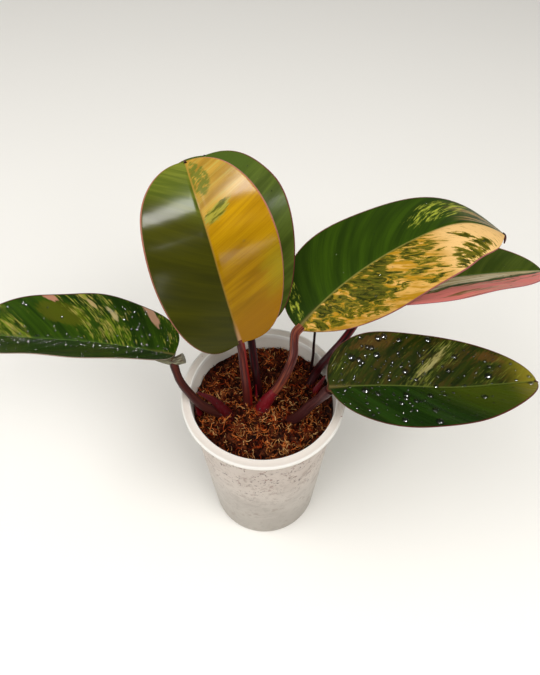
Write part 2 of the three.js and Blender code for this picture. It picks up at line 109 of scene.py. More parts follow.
MIX_LEVEL = 112.0
MIX_CROWN = 3.0
MIX_RELIEF = 2.2
MIX_LUMP_SIZE = 7.0
MIX_SEED = 11
CLOD_SIZE = 4.2
CLOD_HEIGHT = 2.4
CLOD_FADE = 3.0
CLODS_AT_WALL = 0.3
MIX_SIDES = 200
MIX_RINGS = 74
GAP = 0.3

# The loose fibres: dark, middle and light shade, share of the full density, curl in metres, how high on the
# clods they start, and how much thinner they lie at the back. The lighter fibres start higher, so that the
# hollows stay dark, and thin out at the back under the leaves: both are painted shade. The crumbs: how many
# lie on a square metre.

FIBRES = {
    "fibres_dark": dict(
        shades=("120302", "360c05", "5c1c0a"), share=0.8, curl=0.0060, crest=0.34, thinning=0.0
    ),
    "fibres_russet": dict(
        shades=("3c0c04", "a43c14", "d87a3a"), share=1.0, curl=0.0065, crest=0.47, thinning=0.5
    ),
    "fibres_golden": dict(
        shades=("7a300e", "bc7c42", "dcac70"), share=0.95, curl=0.0070, crest=0.53, thinning=0.75
    ),
}
CRUMB_DENSITY = 260000.0

# The blades, in millimetres and degrees. A leaf's values are the ones that its solid has.

BLADE_THICKNESS = 0.8
KEEL_DEPTH_BASE = 2.8
KEEL_DEPTH_TIP = 0.4
KEEL_HALF_WIDTH = 1.9
TIP_HALF_WIDTH = 0.5
VEIN_SWEEP = 0.18
VEIN_LAG = 1.35
LOBE_ANGLE = 0.55
MARGIN_WAVE = 0.7
BEND_SPAN = 0.5
MIDRIB_STEPS = 40
KEEL_REACH = 0.5

# The fine form of a blade, in millimetres: how sharply it thins at its edge, how far its underside follows
# the relief above, how its columns crowd to the midrib, and the heights, lengths and places of its relief.
# The furrows wander a little, by shares of their spacing, and their power makes them narrow.

EDGE_THINNING = 4
UNDERSIDE_SHARE = 0.6
UNDERSIDE_LIMIT = 0.3
COLUMN_CROWDING = 1.2
RELIEF_FADE = 4.0
RIPPLE_HEIGHT = 0.13
RIPPLE_LENGTH = 3.1
RIPPLE_FADE = 9.0
RIPPLE_SLANT = 0.16
FURROW_WANDER = 0.35
FURROW_WANDER_LENGTH = 9.0
FURROW_SHIFT = 0.25
FURROW_POWER = 5
GROOVE_HALF_WIDTH = 0.8
SHOULDER_HEIGHT = 0.06
SHOULDER_PLACE = 2.1
SHOULDER_HALF_WIDTH = 0.9
FOOT_FADE = 8.0
TIP_FADE = 10.0

LEAVES = {
    "a": dict(
        base=(-46.5, 8, 148), heading=168, rise=4, roll=-20,
        bend=-8, bend_at=0.68, arch=21, swing=0, twist=9,
        length=120, left=31, right=32, fold_left=15, fold_right=15, curl_left=16, curl_right=8,
        lobe_left=0.016, lobe_right=0.016, base_round=0.79, tip_round=0.9, widest=1.09, waves=2.5,
        slant=((0.45, 1.1), (0.45, 1.1)),
    ),
    "b": dict(
        base=(-11.6, 11.8, 153), heading=134, rise=72, roll=19,
        bend=50, bend_at=0.63, arch=17, swing=7, twist=10,
        length=105.5, left=31.5, right=32, fold_left=5, fold_right=6, curl_left=-3, curl_right=-2,
        lobe_left=0.032, lobe_right=0.032, base_round=0.77, tip_round=0.83, widest=1.12, waves=2,
        ripple=0.03, furrows=0.2,
        slant=((0.5, 0.15), (0.4, 0.15)),
    ),
    "c": dict(
        base=(-7, 21.7, 155), heading=106, rise=62, roll=-1,
        bend=54, bend_at=0.45, arch=17, swing=-1, twist=3,
        length=117, left=31, right=31, fold_left=8, fold_right=8, curl_left=0, curl_right=0,
        lobe_left=0.03, lobe_right=0.03, base_round=0.7, tip_round=0.84, widest=1.0, waves=2,
        slant=((0.5, 0.4), (0.5, 0.4)),
    ),
    "d": dict(
        base=(18.6, 20, 155.5), heading=48, rise=19, roll=-4,
        bend=53, bend_at=0.86, arch=12.5, swing=41, twist=56,
        length=133, left=37, right=30, fold_left=11, fold_right=-23, curl_left=6, curl_right=-43,
        lobe_left=-0.02, lobe_right=-0.063, base_round=0.77, tip_round=0.56, widest=0.91, waves=2,
        slant=((0.4, 0.9), (0.3, 1.9)),
    ),
    "e": dict(
        base=(62.4, 47.4, 149.2), heading=27, rise=-4, roll=9,
        bend=-4, bend_at=0.68, arch=13, swing=17, twist=8,
        length=115.5, left=30.8, right=30.8, fold_left=13, fold_right=14, curl_left=0, curl_right=0,
        lobe_left=0.03, lobe_right=0.03, base_round=0.71, tip_round=0.97, widest=1.0, waves=2,
        slant=((0.6, 0.6), (1.0, 1.6)),
    ),
    "f": dict(
        base=(33.3, -13.3, 150), heading=17, rise=-18, roll=-5,
        bend=-18, bend_at=0.62, arch=-3, swing=20, twist=20,
        length=119, left=33.5, right=33, fold_left=13, fold_right=12, curl_left=3, curl_right=3,
        lobe_left=0.0, lobe_right=0.0, base_round=0.92, tip_round=1.06, widest=1.12, waves=2,
        slant=((0.8, 0.4), (0.7, 0.5)),
    ),
}

# The stalks: path below the blade, how it meets the blade, and its radii at foot and top, in millimetres

STALKS = {
    "a": dict(
        path=[
            (-14, -5, 102), (-20, -7.5, 112), (-27, -8.8, 119), (-33, -8, 124),
            (-38.5, -5.2, 129.6), (-44, -1, 137.5),
        ],
        way="beneath", foot=2.9, top=2.0,
    ),
    "b": dict(
        path=[(-10, -2, 102), (-8.8, -1.4, 113), (-8.9, 0.2, 126), (-10, 4.6, 137)],
        way="behind", foot=2.9, top=2.1,
    ),
    "c": dict(
        path=[(-4, 1, 102), (-2.8, 3.8, 112), (-3, 5, 121), (-4.5, 9.4, 135)],
        way="behind", foot=2.5, top=2.1,
    ),
    "d": dict(
        path=[
            (1, -3, 102), (-2.2, -6.4, 112), (0.6, -4.6, 119.5), (5.2, -2.4, 127),
            (9.9, 0.6, 134), (15.6, 6.6, 148),
        ],
        way="behind", foot=2.7, top=2.3,
    ),
    "e": dict(
        path=[
            (17, 6, 102), (25.5, 11, 112), (30, 16, 120.5), (32.6, 17, 126),
            (36.8, 19.6, 131), (43, 24, 137), (54, 37.5, 143),
        ],
        way="behind", foot=2.7, top=2.0,
    ),
    "f": dict(
        path=[(9, 0, 102), (14.6, -11, 113), (19.8, -13.6, 123), (24.6, -13.2, 132), (29.5, -13.8, 141)],
        way="beneath", foot=3.3, top=2.3,
    ),
}

# The sheaths: open channels. facing is where the back looks, and spread is half the angle at the foot.

SHEATHS = {
    "sheath_a": dict(
        path=[(-16, -10.5, 108.5), (-21, -8.2, 118), (-28, -5.6, 126.6), (-35.2, -4.6, 132)],
        facing=(0.3, -1, 1), radius=2.4, spread=95, wall=0.8,
    ),
    "sheath_d": dict(
        path=[(-2.1, -6.4, 110), (-2, -6.3, 112.5), (0.6, -4.6, 119.5), (5.2, -2.4, 127), (8.6, -0.4, 132)],
        facing=(-0.3, -1, 0.3), radius=3.1, spread=115, wall=0.9, closing=3.2,
    ),
    "sheath_e": dict(
        path=[(27.5, 6.6, 107), (29.5, 9.2, 112.5), (34.2, 13.8, 121)],
        facing=(0.6, -1, 0.4), radius=2.2, spread=90, wall=0.8,
    ),
    "sheath_small": dict(
        path=[(-34.5, -6.5, 106), (-36.2, -5.8, 114), (-37.4, -5, 120)],
        facing=(0.5, -1, 0.5), radius=1.3, spread=80, wall=0.8,
    ),
}
SHEATH_TIP_SPREAD = 20
SHEATH_NARROWING = 0.55
SHEATH_CLOSING = 1.6
SHEATH_STEPS = 44
SHEATH_SIDES = 22
SHEATH_EDGE_ANGLES = (0.8, 1.57, 2.35)

# The new shoot's spike, the thin dry stalk of an older leaf, and the pale knee under leaf a

SHOOT = dict(
    path=[(-4.6, -2.2, 103), (-4.2, -0.9, 112), (-3.9, 0.9, 120), (-4, 2.6, 127.5)],
    foot=1.6, top=0.3,
)
DRY_STALK = dict(
    path=[(26, 21, 107), (27.5, 23, 113), (28.3, 24.6, 124), (28.3, 26.2, 133), (28.5, 28.6, 141)],
    foot=1.0, top=0.7,
)
KNEE = dict(
    path=[(-57, 6.8, 146.4), (-51, 6.2, 145.0), (-46.5, 6.2, 144.7), (-41.6, 7.2, 146.2)],
    foot=0.9, top=2.9,
)

# How far each drip tip runs ahead and hangs down, how far inside the blade it starts, and its radii

DRIP_TIPS = {
    "a": (2.0, 0.5), "b": (1.2, 0.5), "c": (1.6, 0.6),
    "d": (1.8, 4.6), "e": (2.4, 0.6), "f": (0.8, 0.3),
}
DRIP_TIP_START = 1.2
DRIP_TIP_RADII = (1.15, 0.35)

# How much each stalk swells just below its blade, in millimetres, and between which shares of its length

SWELLINGS = {"a": 0.3, "b": 0.1, "c": 0.1, "d": 0.3, "e": 0.2, "f": 0.5}
SWELLING_PLACE = (0.86, 0.95)


# What a user may change


class BladeSettings(bpy.types.PropertyGroup):
    rows: IntProperty(name="Rows", description="Rows of faces along a blade", default=150, min=20)
    columns: IntProperty(
        name="Columns", description="Columns of faces on each half blade", default=34, min=6
    )
    vein_spacing: FloatProperty(
        name="Vein spacing", description="Distance between side veins at the midrib",
        default=0.0068, unit="LENGTH", subtype="DISTANCE",
    )
    vein_relief: FloatProperty(
        name="Vein relief", description="Depth of the shallow furrow over a side vein",
        default=0.00006, unit="LENGTH", subtype="DISTANCE",
    )
    groove: FloatProperty(
        name="Midrib groove", description="Depth of the groove along the midrib",
        default=0.0003, unit="LENGTH", subtype="DISTANCE",
    )
    edge_thickness: FloatProperty(
        name="Edge thickness", description="Thickness of the blade at its margin",
        default=0.0004, unit="LENGTH", subtype="DISTANCE",
    )


class StalkSettings(bpy.types.PropertyGroup):
    steps: IntProperty(name="Steps", description="Rings along a stalk", default=70, min=8)
    sides: IntProperty(name="Sides", description="Sides of a stalk", default=28, min=6)
    roughness: FloatProperty(
        name="Ridges", description="Height of the faint ridges along a stalk",
        default=0.00010, unit="LENGTH", subtype="DISTANCE",
    )


class MixSettings(bpy.types.PropertyGroup):
    fibre_length: FloatProperty(
        name="Fibre length", description="Length of a loose fibre",
        default=0.0038, unit="LENGTH", subtype="DISTANCE",
    )
    fibre_radius: FloatProperty(
        name="Fibre radius", description="Half the thickness of a loose fibre",
        default=0.00030, unit="LENGTH", subtype="DISTANCE",
    )
    fibre_density: FloatProperty(
        name="Fibre density", description="Loose fibres of each colour per square metre",
        default=900000.0, min=0.0,
    )
    crumb_size: FloatProperty(
        name="Crumb size", description="Mean radius of a crumb of pith",
        default=0.0009, unit="LENGTH", subtype="DISTANCE",
    )
    seed: IntProperty(name="Seed", description="Seed of the loose fibres and crumbs", default=4)


class WaterSettings(bpy.types.PropertyGroup):
    share: FloatProperty(
        name="Size", description="Size of the drops, where 1 is as photographed", default=1.0, min=0.1
    )
    seed: IntProperty(name="Seed", description="Seed of the scattered drops", default=7)


class ColourSettings(bpy.types.PropertyGroup):
    pot: FloatVectorProperty(
        name="Pot", description="Frosted plastic of the pot",
        subtype="COLOR", size=3, default=(0.565, 0.51, 0.455),
    )
    stalk: FloatVectorProperty(
        name="Stalk", description="Dark side of a stalk",
        subtype="COLOR", size=3, default=(0.050, 0.012, 0.012),
    )
    sheath: FloatVectorProperty(
        name="Sheath", description="Crimson of the sheaths",
        subtype="COLOR", size=3, default=(0.14, 0.004, 0.008),
    )
    floor: FloatVectorProperty(
        name="Floor", description="The pale floor",
        subtype="COLOR", size=3, default=(0.93, 0.915, 0.88),
    )


class PhilodendronSettings(bpy.types.PropertyGroup):
    blade: PointerProperty(
        name="Blades", description="Mesh and relief of the blades", type=BladeSettings
    )
    stalk: PointerProperty(
        name="Stalks", description="Mesh and ridges of the stalks", type=StalkSettings
    )
    mix: PointerProperty(
        name="Growing mix", description="Loose fibres and crumbs of the mix", type=MixSettings
    )
    water: PointerProperty(
        name="Water", description="Drops on the blades and sheaths", type=WaterSettings
    )
    colours: PointerProperty(
        name="Colours", description="Main colours of pot, plant and floor", type=ColourSettings
    )


# Node trees that read as formulas


class Graph:
    """Adds nodes to one tree and joins them"""

    def __init__(self, tree):
        self.tree = tree

    def feed(self, socket, value):
        """Joins an output to a socket, or sets a plain value on it"""
        if isinstance(value, bpy.types.NodeSocket):
            self.tree.links.new(value, socket)
        elif value is not None:
            socket.default_value = value

    def node(self, kind, inputs=None, **settings):
        """A new node with its settings, and its inputs by their names"""
        made = self.tree.nodes.new(kind)
        for name, value in settings.items():
            setattr(made, name, value)
        for name, value in (inputs or {}).items():
            self.feed(made.inputs[name], value)
        return made

    def math(self, operation, first, second=None):
        made = self.node("ShaderNodeMath", operation=operation)
        self.feed(made.inputs[0], first)
        self.feed(made.inputs[1], second)
        return made.outputs[0]

    def add(self, *values):
        total = values[0]
        for value in values[1:]:
            total = self.math("ADD", total, value)
        return total

    def times(self, *values):
        total = values[0]
        for value in values[1:]:
            total = self.math("MULTIPLY", total, value)
        return total

    def less(self, first, second):
        return self.math("SUBTRACT", first, second)

    def size(self, value):
        return self.math("ABSOLUTE", value)

    def rise(self, value, start, end):
        """0 up to start, 1 from end on, and smooth between them. It falls where start is above end."""
        made = self.node("ShaderNodeMapRange", interpolation_type="SMOOTHSTEP")
        self.feed(made.inputs["Value"], value)
        self.feed(made.inputs["From Min"], start)
        self.feed(made.inputs["From Max"], end)
        return made.outputs[0]

    def vector(self, x, y, z):
        made = self.node("ShaderNodeCombineXYZ")
        for socket, value in zip(made.inputs, (x, y, z)):
            self.feed(socket, value)
        return made.outputs[0]

    def parts(self, vector):
        return self.node("ShaderNodeSeparateXYZ", {"Vector": vector}).outputs[:3]

    def length(self, first, second):
        """The length of the line with these two parts"""
        return self.math("SQRT", self.add(self.times(first, first), self.times(second, second)))

    def greater(self, first, second):
        """The greater of two values"""
        return self.math("MAXIMUM", first, second)

    def noise(self, place, scale=1.0, detail=3.0, roughness=0.5, distortion=0.0):
        inputs = {
            "Vector": place, "Scale": scale, "Detail": detail,
            "Roughness": roughness, "Distortion": distortion,
        }
        return self.node("ShaderNodeTexNoise", inputs).outputs[0]


class PaintGraph(Graph):
    """The nodes of a material"""

    def mixed(self, factor, first, second):
        """A colour between two others. A mix node's colours are its inputs 6 and 7 and its output 2."""
        made = self.node("ShaderNodeMix", data_type="RGBA")
        self.feed(made.inputs[0], factor)
        self.feed(made.inputs[6], first)
        self.feed(made.inputs[7], second)
        return made.outputs[2]

    def over(self, colour, code, *shares):
        """A colour with another, given by its code, laid over it as strongly as the shares multiply to"""
        return self.mixed(self.times(*shares), colour, tint(code))

    def profile(self, value, *stops):
        """A value that runs straight from stop to stop. Each stop is a place and the value there."""
        low, high = stops[0][0], stops[-1][0]
        share = self.node("ShaderNodeMapRange")
        self.feed(share.inputs["Value"], value)
        share.inputs["From Min"].default_value = low
        share.inputs["From Max"].default_value = high
        ramp = self.node("ShaderNodeValToRGB", {"Fac": share.outputs[0]})
        points = ramp.color_ramp.elements
        while len(points) < len(stops):
            points.new(0.5)
        for point, (place, level) in zip(points, stops):
            point.position = (place - low) / (high - low)
            point.color = (level, level, level, 1.0)
        return ramp.outputs["Color"]

    def attribute(self, name):
        """The outputs of a point attribute"""
        return self.node("ShaderNodeAttribute", attribute_name=name).outputs

    def object_place(self):
        """The place in the piece, in metres"""
        return self.node("ShaderNodeTexCoord").outputs["Object"]

    def normal_parts(self):
        """The three parts of the direction that the surface faces"""
        return self.parts(self.node("ShaderNodeNewGeometry").outputs["Normal"])

    def squeezed(self, place, scale):
        """A place drawn together along each axis by the scale there"""
        return self.node("ShaderNodeMapping", {"Vector": place, "Scale": scale}).outputs[0]


class GrowthGraph(Graph):
    """The nodes of a geometry tree"""

    def position(self):
        """The place in the piece, in metres"""
        return self.node("GeometryNodeInputPosition").outputs[0]

    def named(self, name):
        """A point attribute of the mesh"""
        return self.node("GeometryNodeInputNamedAttribute", {"Name": name}).outputs["Attribute"]

    def stored(self, geometry, name, value, domain="POINT"):
        """The geometry with a value stored as an attribute"""
        return self.node(
            "GeometryNodeStoreNamedAttribute", {"Geometry": geometry, "Name": name, "Value": value},
            data_type="FLOAT", domain=domain,
        ).outputs[0]

    def random_value(self, seed, low=0.0, high=1.0):
        made = self.node("FunctionNodeRandomValue", {"Seed": seed}, data_type="FLOAT")
        self.feed(made.inputs[2], low)
        self.feed(made.inputs[3], high)
        return made.outputs[1]

    def random_vector(self, seed, low, high):
        made = self.node("FunctionNodeRandomValue", {"Seed": seed}, data_type="FLOAT_VECTOR")
        self.feed(made.inputs[0], low)
        self.feed(made.inputs[1], high)
        return made.outputs[0]

    def random_turn(self, seed, low, high):
        """A random rotation between two sets of angles"""
        angles = self.random_vector(seed, low, high)
        return self.node("FunctionNodeEulerToRotation", {"Euler": angles}).outputs[0]

    def scattered(self, mesh, density, seed):
        """Random points on the faces of a mesh"""
        return self.node(
            "GeometryNodeDistributePointsOnFaces", {"Mesh": mesh, "Density": density, "Seed": seed},
            distribute_method="RANDOM",
        ).outputs[0]

    def placed(self, shape, points, rotation, scale):
        """An instance of the shape on each point"""
        return self.node(
            "GeometryNodeInstanceOnPoints",
            {"Points": points, "Instance": shape, "Rotation": rotation, "Scale": scale},
        ).outputs[0]

    def realized(self, geometry):
        return self.node("GeometryNodeRealizeInstances", {"Geometry": geometry}).outputs[0]

    def drift(self, scale, reach):
        """Smooth random offsets, as fine as the scale and up to about half the reach each way"""
        field = self.node(
            "ShaderNodeTexNoise", {"Vector": self.position(), "Scale": scale, "Detail": 1.0}
        ).outputs[1]
        centred = self.node("ShaderNodeVectorMath", operation="SUBTRACT")
        self.feed(centred.inputs[0], field)
        self.feed(centred.inputs[1], (0.5, 0.5, 0.5))
        return self.scaled(centred.outputs[0], reach)

    def scaled(self, vector, factor):
        return self.node(
            "ShaderNodeVectorMath", {"Vector": vector, "Scale": factor}, operation="SCALE"
        ).outputs[0]

    def moved(self, geometry, offset):
        return self.node("GeometryNodeSetPosition", {"Geometry": geometry, "Offset": offset}).outputs[0]

    def tube(self, curve, outline, radius):
        """A closed tube along a curve, with an outline that radius sizes"""
        inputs = {"Curve": curve, "Profile Curve": outline, "Scale": radius, "Fill Caps": True}
        return self.node("GeometryNodeCurveToMesh", inputs).outputs[0]

    def along_curve(self):
        """How far along its curve a point lies, from 0 to 1"""
        return self.node("GeometryNodeSplineParameter").outputs[0]

    def circle(self, sides, radius):
        inputs = {"Resolution": sides, "Radius": radius}
        return self.node("GeometryNodeCurvePrimitiveCircle", inputs).outputs[0]


def tint(code):
    """The linear colour of a six-figure colour code, by the usual curve of screen colours"""
    values = [int(code[i : i + 2], 16) / 255 for i in (0, 2, 4)]
    return (*[v / 12.92 if v <= 0.04045 else ((v + 0.055) / 1.055) ** 2.4 for v in values], 1.0)


def new_material(name, roughness=0.5, **sockets):
    """A material with a graph and its shader. The sockets given by name are set on the shader itself."""
    material = bpy.data.materials.new(name)
    material.use_nodes = True
    graph = PaintGraph(material.node_tree)
    shader = material.node_tree.nodes["Principled BSDF"]
    shader.inputs["Roughness"].default_value = roughness
    for socket, value in sockets.items():
        shader.inputs[socket.replace("_", " ")].default_value = value
    return material, graph, shader


def bump(graph, shader, height, distance, strength):
    """Lets the height raise the surface by up to the distance, in metres"""
    made = graph.node("ShaderNodeBump", {"Height": height, "Distance": distance, "Strength": strength})
    graph.feed(shader.inputs["Normal"], made.outputs[0])


# Meshes


def mesh_object(name, points, faces, material, values=None):
    """A smooth mesh object at the origin, from points in millimetres. values holds its point attributes."""
    mesh = bpy.data.meshes.new(name)
    mesh.from_pydata([tuple(p) for p in np.asarray(points, float) * MM], [], faces)
    for key, data in (values or {}).items():
        data = np.asarray(data, np.float32)
        kind = "FLOAT_VECTOR" if data.ndim == 2 else "FLOAT"
        attribute = mesh.attributes.new(key, kind, "POINT")
        attribute.data.foreach_set("vector" if data.ndim == 2 else "value", data.ravel())
    mesh.shade_smooth()
    mesh.materials.append(material)
    mesh.validate()
    made = bpy.data.objects.new(name, mesh)
    bpy.context.scene.collection.objects.link(made)
    return made


def outward(points, faces):
    """The faces, all turned round if they enclose a negative volume"""
    points = np.asarray(points, float)
    volume = 0.0
    for face in faces:
        for i in range(1, len(face) - 1):
            a, b, c = points[face[0]], points[face[i]], points[face[i + 1]]
            volume += np.dot(a, np.cross(b, c))
    return faces if volume > 0 else [tuple(reversed(face)) for face in faces]


def skin(rings, sides):
    """Faces between rings of equal size, numbered one after another"""
    faces = []
    for i in range(rings - 1):
        here = i * sides
        there = here + sides
        for j in range(sides):
            k = (j + 1) % sides
            faces.append((here + j, here + k, there + k, there + j))
    return faces


def finish_piece(piece, slot, *nodes):
    """Lets a piece ride on the plant's one body and lets it stand for CAD nodes. slot is not used."""
    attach(piece, "root")
    if nodes:
        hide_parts(*nodes)
    return piece


# Geometry node trees


def geometry_tree(name, inputs):
    """A tree with the named inputs after its geometry. Gives its graph, its inputs and their identifiers."""
    tree = bpy.data.node_groups.new(name, "GeometryNodeTree")
    tree.interface.new_socket("Geometry", in_out="INPUT", socket_type="NodeSocketGeometry")
    identifiers = {}
    for label, kind in inputs.items():
        socket = tree.interface.new_socket(label, in_out="INPUT", socket_type=kind)
        identifiers[label] = socket.identifier
    tree.interface.new_socket("Geometry", in_out="OUTPUT", socket_type="NodeSocketGeometry")
    graph = GrowthGraph(tree)
    given = graph.node("NodeGroupInput").outputs
    return graph, given, identifiers


def end_tree(graph, geometry, material):
    """Ends a tree in Realize Instances and Set Material"""
    smooth = graph.node("GeometryNodeSetShadeSmooth", {"Geometry": geometry}).outputs[0]
    real = graph.realized(smooth)
    coloured = graph.node("GeometryNodeSetMaterial", {"Geometry": real, "Material": material}).outputs[0]
    end = graph.node("NodeGroupOutput")
    graph.feed(end.inputs[0], coloured)


def plain_mesh(base):
    """A new mesh of an object as its modifiers leave it"""
    bpy.context.view_layer.update()
    depsgraph = bpy.context.evaluated_depsgraph_get()
    return bpy.data.meshes.new_from_object(base.evaluated_get(depsgraph))


def grown(name, base, grower, values):
    """A plain mesh object made by a tree from a base object, whose modifier is removed again.

    grower is the tree with the identifiers of its inputs, and values gives the inputs by their names.
    """
    tree, identifiers = grower
    modifier = base.modifiers.new(name, "NODES")
    modifier.node_group = tree
    for label, value in values.items():
        modifier[identifiers[label]] = value
    mesh = plain_mesh(base)
    base.modifiers.remove(modifier)
    if not mesh.polygons:
        raise RuntimeError(f"the tree {tree.name} made nothing for {name}")
    mesh.name = name
    made = bpy.data.objects.new(name, mesh)
    bpy.context.scene.collection.objects.link(made)
    return made


# Curves through points, as the solids have them

CURVE_STEPS = 60
SHORTEST_STEP = 1e-4


def knot_step(start, end):
    """The square root of a step's length, which keeps a curve from looping between uneven steps"""
    return max(math.sqrt(np.linalg.norm(end - start)), SHORTEST_STEP)


def curve_points(path, count):
    """Points at equal distances along a centripetal curve through the path"""
    path = [np.array(p, float) for p in path]
    path = [2 * path[0] - path[1], *path, 2 * path[-1] - path[-2]]
    fine = []
    for p0, p1, p2, p3 in zip(path, path[1:], path[2:], path[3:]):
        d0, d1, d2 = knot_step(p0, p1), knot_step(p1, p2), knot_step(p2, p3)
        start = ((p1 - p0) / d0 - (p2 - p0) / (d0 + d1) + (p2 - p1) / d1) * d1
        end = ((p2 - p1) / d1 - (p3 - p1) / (d1 + d2) + (p3 - p2) / d2) * d1
        square_part = 3 * (p2 - p1) - 2 * start - end
        cube_part = 2 * (p1 - p2) + start + end
        for t in np.linspace(0, 1, CURVE_STEPS, endpoint=False):
            fine.append(p1 + start * t + square_part * (t * t) + cube_part * (t * t * t))
    fine.append(path[-2])
    fine = np.array(fine)
    distance = np.concatenate([[0], np.cumsum(np.linalg.norm(np.diff(fine, axis=0), axis=1))])
    even = np.linspace(0, distance[-1], count)
    return np.stack([np.interp(even, distance, fine[:, axis]) for axis in range(3)], axis=1)


# The blade's form


def unit(vector):
    """The vector at a length of 1"""
    return vector / np.linalg.norm(vector)


def walk_midrib(leaf):
    """Points, tangents, right sides and normals along the midrib"""
    heading, rise, roll = (math.radians(leaf[key]) for key in ("heading", "rise", "roll"))
    forward = math.cos(rise)
    tangent = np.array([forward * math.cos(heading), forward * math.sin(heading), math.sin(rise)])
    level = np.array([math.sin(heading), -math.cos(heading), 0])
    upright = np.cross(level, tangent)
    side = level * math.cos(roll) + upright * math.sin(roll)
    normal = upright * math.cos(roll) - level * math.sin(roll)
    point = np.array(leaf["base"], float)
    frames = [(point, tangent, side, normal)]
    for i in range(MIDRIB_STEPS):
        away = ((i + 0.5) / MIDRIB_STEPS - leaf["bend_at"]) / BEND_SPAN
        gathered = (1 + math.cos(2 * math.pi * away)) / BEND_SPAN if abs(away) < 0.5 else 0
        droop = math.radians(leaf["arch"] + leaf["bend"] * gathered) / MIDRIB_STEPS
        swing = math.radians(leaf["swing"]) / MIDRIB_STEPS
        twist = math.radians(leaf["twist"]) / MIDRIB_STEPS
        ahead = unit(tangent - normal * droop + side * swing)
        tilted = normal + tangent * droop - side * twist
        side = unit(np.cross(ahead, tilted))
        normal = np.cross(side, ahead)
        point = point + (tangent + ahead) * leaf["length"] / MIDRIB_STEPS / 2
        tangent = ahead
        frames.append((point, tangent, side, normal))
    return [np.array(column) for column in zip(*frames)]


def frames_at(leaf, frames, distance):
    """The midrib's frame at each distance from the base"""
    inside = np.clip(distance, 0, leaf["length"])
    place = inside / leaf["length"] * MIDRIB_STEPS
    i = np.minimum(place.astype(int), MIDRIB_STEPS - 1)
    part = (place - i)[..., None]
    point, tangent, side, normal = (f[i] * (1 - part) + f[i + 1] * part for f in frames)
    return point + tangent * (distance - inside)[..., None], tangent, side, normal


def between(start, end, share):
    """The value that lies at a share of the way from start to end"""
    return start + (end - start) * share


def blade_surface(leaf, theta, hand_out, settings):
    """Top and bottom points of a blade, with the places that its colours follow.

    theta runs from 0 at the stalk to pi at the tip, and hand_out from -1 at the left margin to 1 at the
    right.
    """
    frames = walk_midrib(leaf)
    theta = theta[:, None]
    out = np.abs(hand_out)[None, :]
    hand = np.sign(hand_out)[None, :]
    on_left = (hand_out < 0)[None, :]
    sine = np.sin(theta)
    share = (1 - np.cos(theta)) / 2
    station = share ** leaf["widest"]
    end_half = between(KEEL_HALF_WIDTH, TIP_HALF_WIDTH, share)
    vein_start = station - VEIN_SWEEP * sine**2
    keel = between(KEEL_DEPTH_BASE, KEEL_DEPTH_TIP, station)
    full, fold, curl_angle, lobe_size = (
        np.where(on_left, leaf[key + "left"], leaf[key + "right"]) for key in ("", "fold_", "curl_", "lobe_")
    )
    roundness = between(leaf["base_round"], leaf["tip_round"], share)
    half = np.hypot(full * sine**roundness, end_half)
    fold = np.radians(fold)
    bow = np.radians(curl_angle) * out / 2
    chord = half * out * np.sinc(bow / math.pi)
    across = chord * np.cos(fold + bow)
    waved = sine * np.sin(2 * math.pi * leaf["waves"] * share + hand)
    lift = chord * np.sin(fold + bow) + MARGIN_WAVE * out**2 * waved
    lobe = 2 * sine * np.exp(-((theta / LOBE_ANGLE) ** 2)) * lobe_size
    along = between(vein_start, station - lobe, out**VEIN_LAG) * leaf["length"]
    point, _, side, normal = frames_at(leaf, frames, along)
    spread = half * out * hand
    slant, growth = (np.where(on_left, left, right) for left, right in zip(*leaf["slant"]))
    vein = along - half * out * (slant + growth * along / leaf["length"])
    inset = half * (1 - out)
    relief = blade_relief(leaf, vein, spread, inset, settings)
    surface = point + side * (hand * across)[..., None] + normal * lift[..., None]
    edge_share = settings.edge_thickness / MM / BLADE_THICKNESS
    thinning = between(1, edge_share, np.clip(out, 0, 1) ** EDGE_THINNING)
    depth = BLADE_THICKNESS * thinning + keel * np.exp(-((across / KEEL_HALF_WIDTH) ** 2))
    followed = UNDERSIDE_SHARE * relief.clip(-UNDERSIDE_LIMIT, UNDERSIDE_LIMIT)
    top = surface + normal * relief[..., None]
    bottom = surface - normal * (depth - followed)[..., None]
    places = {
        "vein": np.stack([vein, spread, 0 * vein], axis=-1),
        "face": np.stack([hand_out[None, :] + 0 * vein, inset, along / leaf["length"]], axis=-1),
    }
    return top, bottom, places


def blade_relief(leaf, vein, spread, inset, settings):
    """The fine relief of a blade's upper side: midrib groove, vein furrows and broad ripples"""
    out = np.abs(spread)
    hand = np.sign(spread)
    fading = np.clip(inset / RELIEF_FADE, 0, 1) * np.clip((out - 1) / RELIEF_FADE, 0, 1)
    spacing = settings.vein_spacing / MM
    phase = vein / spacing + FURROW_WANDER * np.sin(vein / FURROW_WANDER_LENGTH) + hand * FURROW_SHIFT
    narrow = -np.cos(2 * math.pi * phase) ** FURROW_POWER
    furrows = narrow * settings.vein_relief / MM * leaf.get("furrows", 1.0)
    swell = np.sin(vein / RIPPLE_LENGTH + out * RIPPLE_SLANT + hand)
    ripples = leaf.get("ripple", RIPPLE_HEIGHT) * swell * np.clip(out / RIPPLE_FADE, 0, 1)
    groove = -settings.groove / MM * np.exp(-((out / GROOVE_HALF_WIDTH) ** 2))
    shoulders = SHOULDER_HEIGHT * np.exp(-(((out - SHOULDER_PLACE) / SHOULDER_HALF_WIDTH) ** 2))
    ends = np.clip(vein / FOOT_FADE, 0, 1) * np.clip((leaf["length"] - vein) / TIP_FADE, 0, 1)
    return (furrows + ripples) * fading + (groove + shoulders) * ends


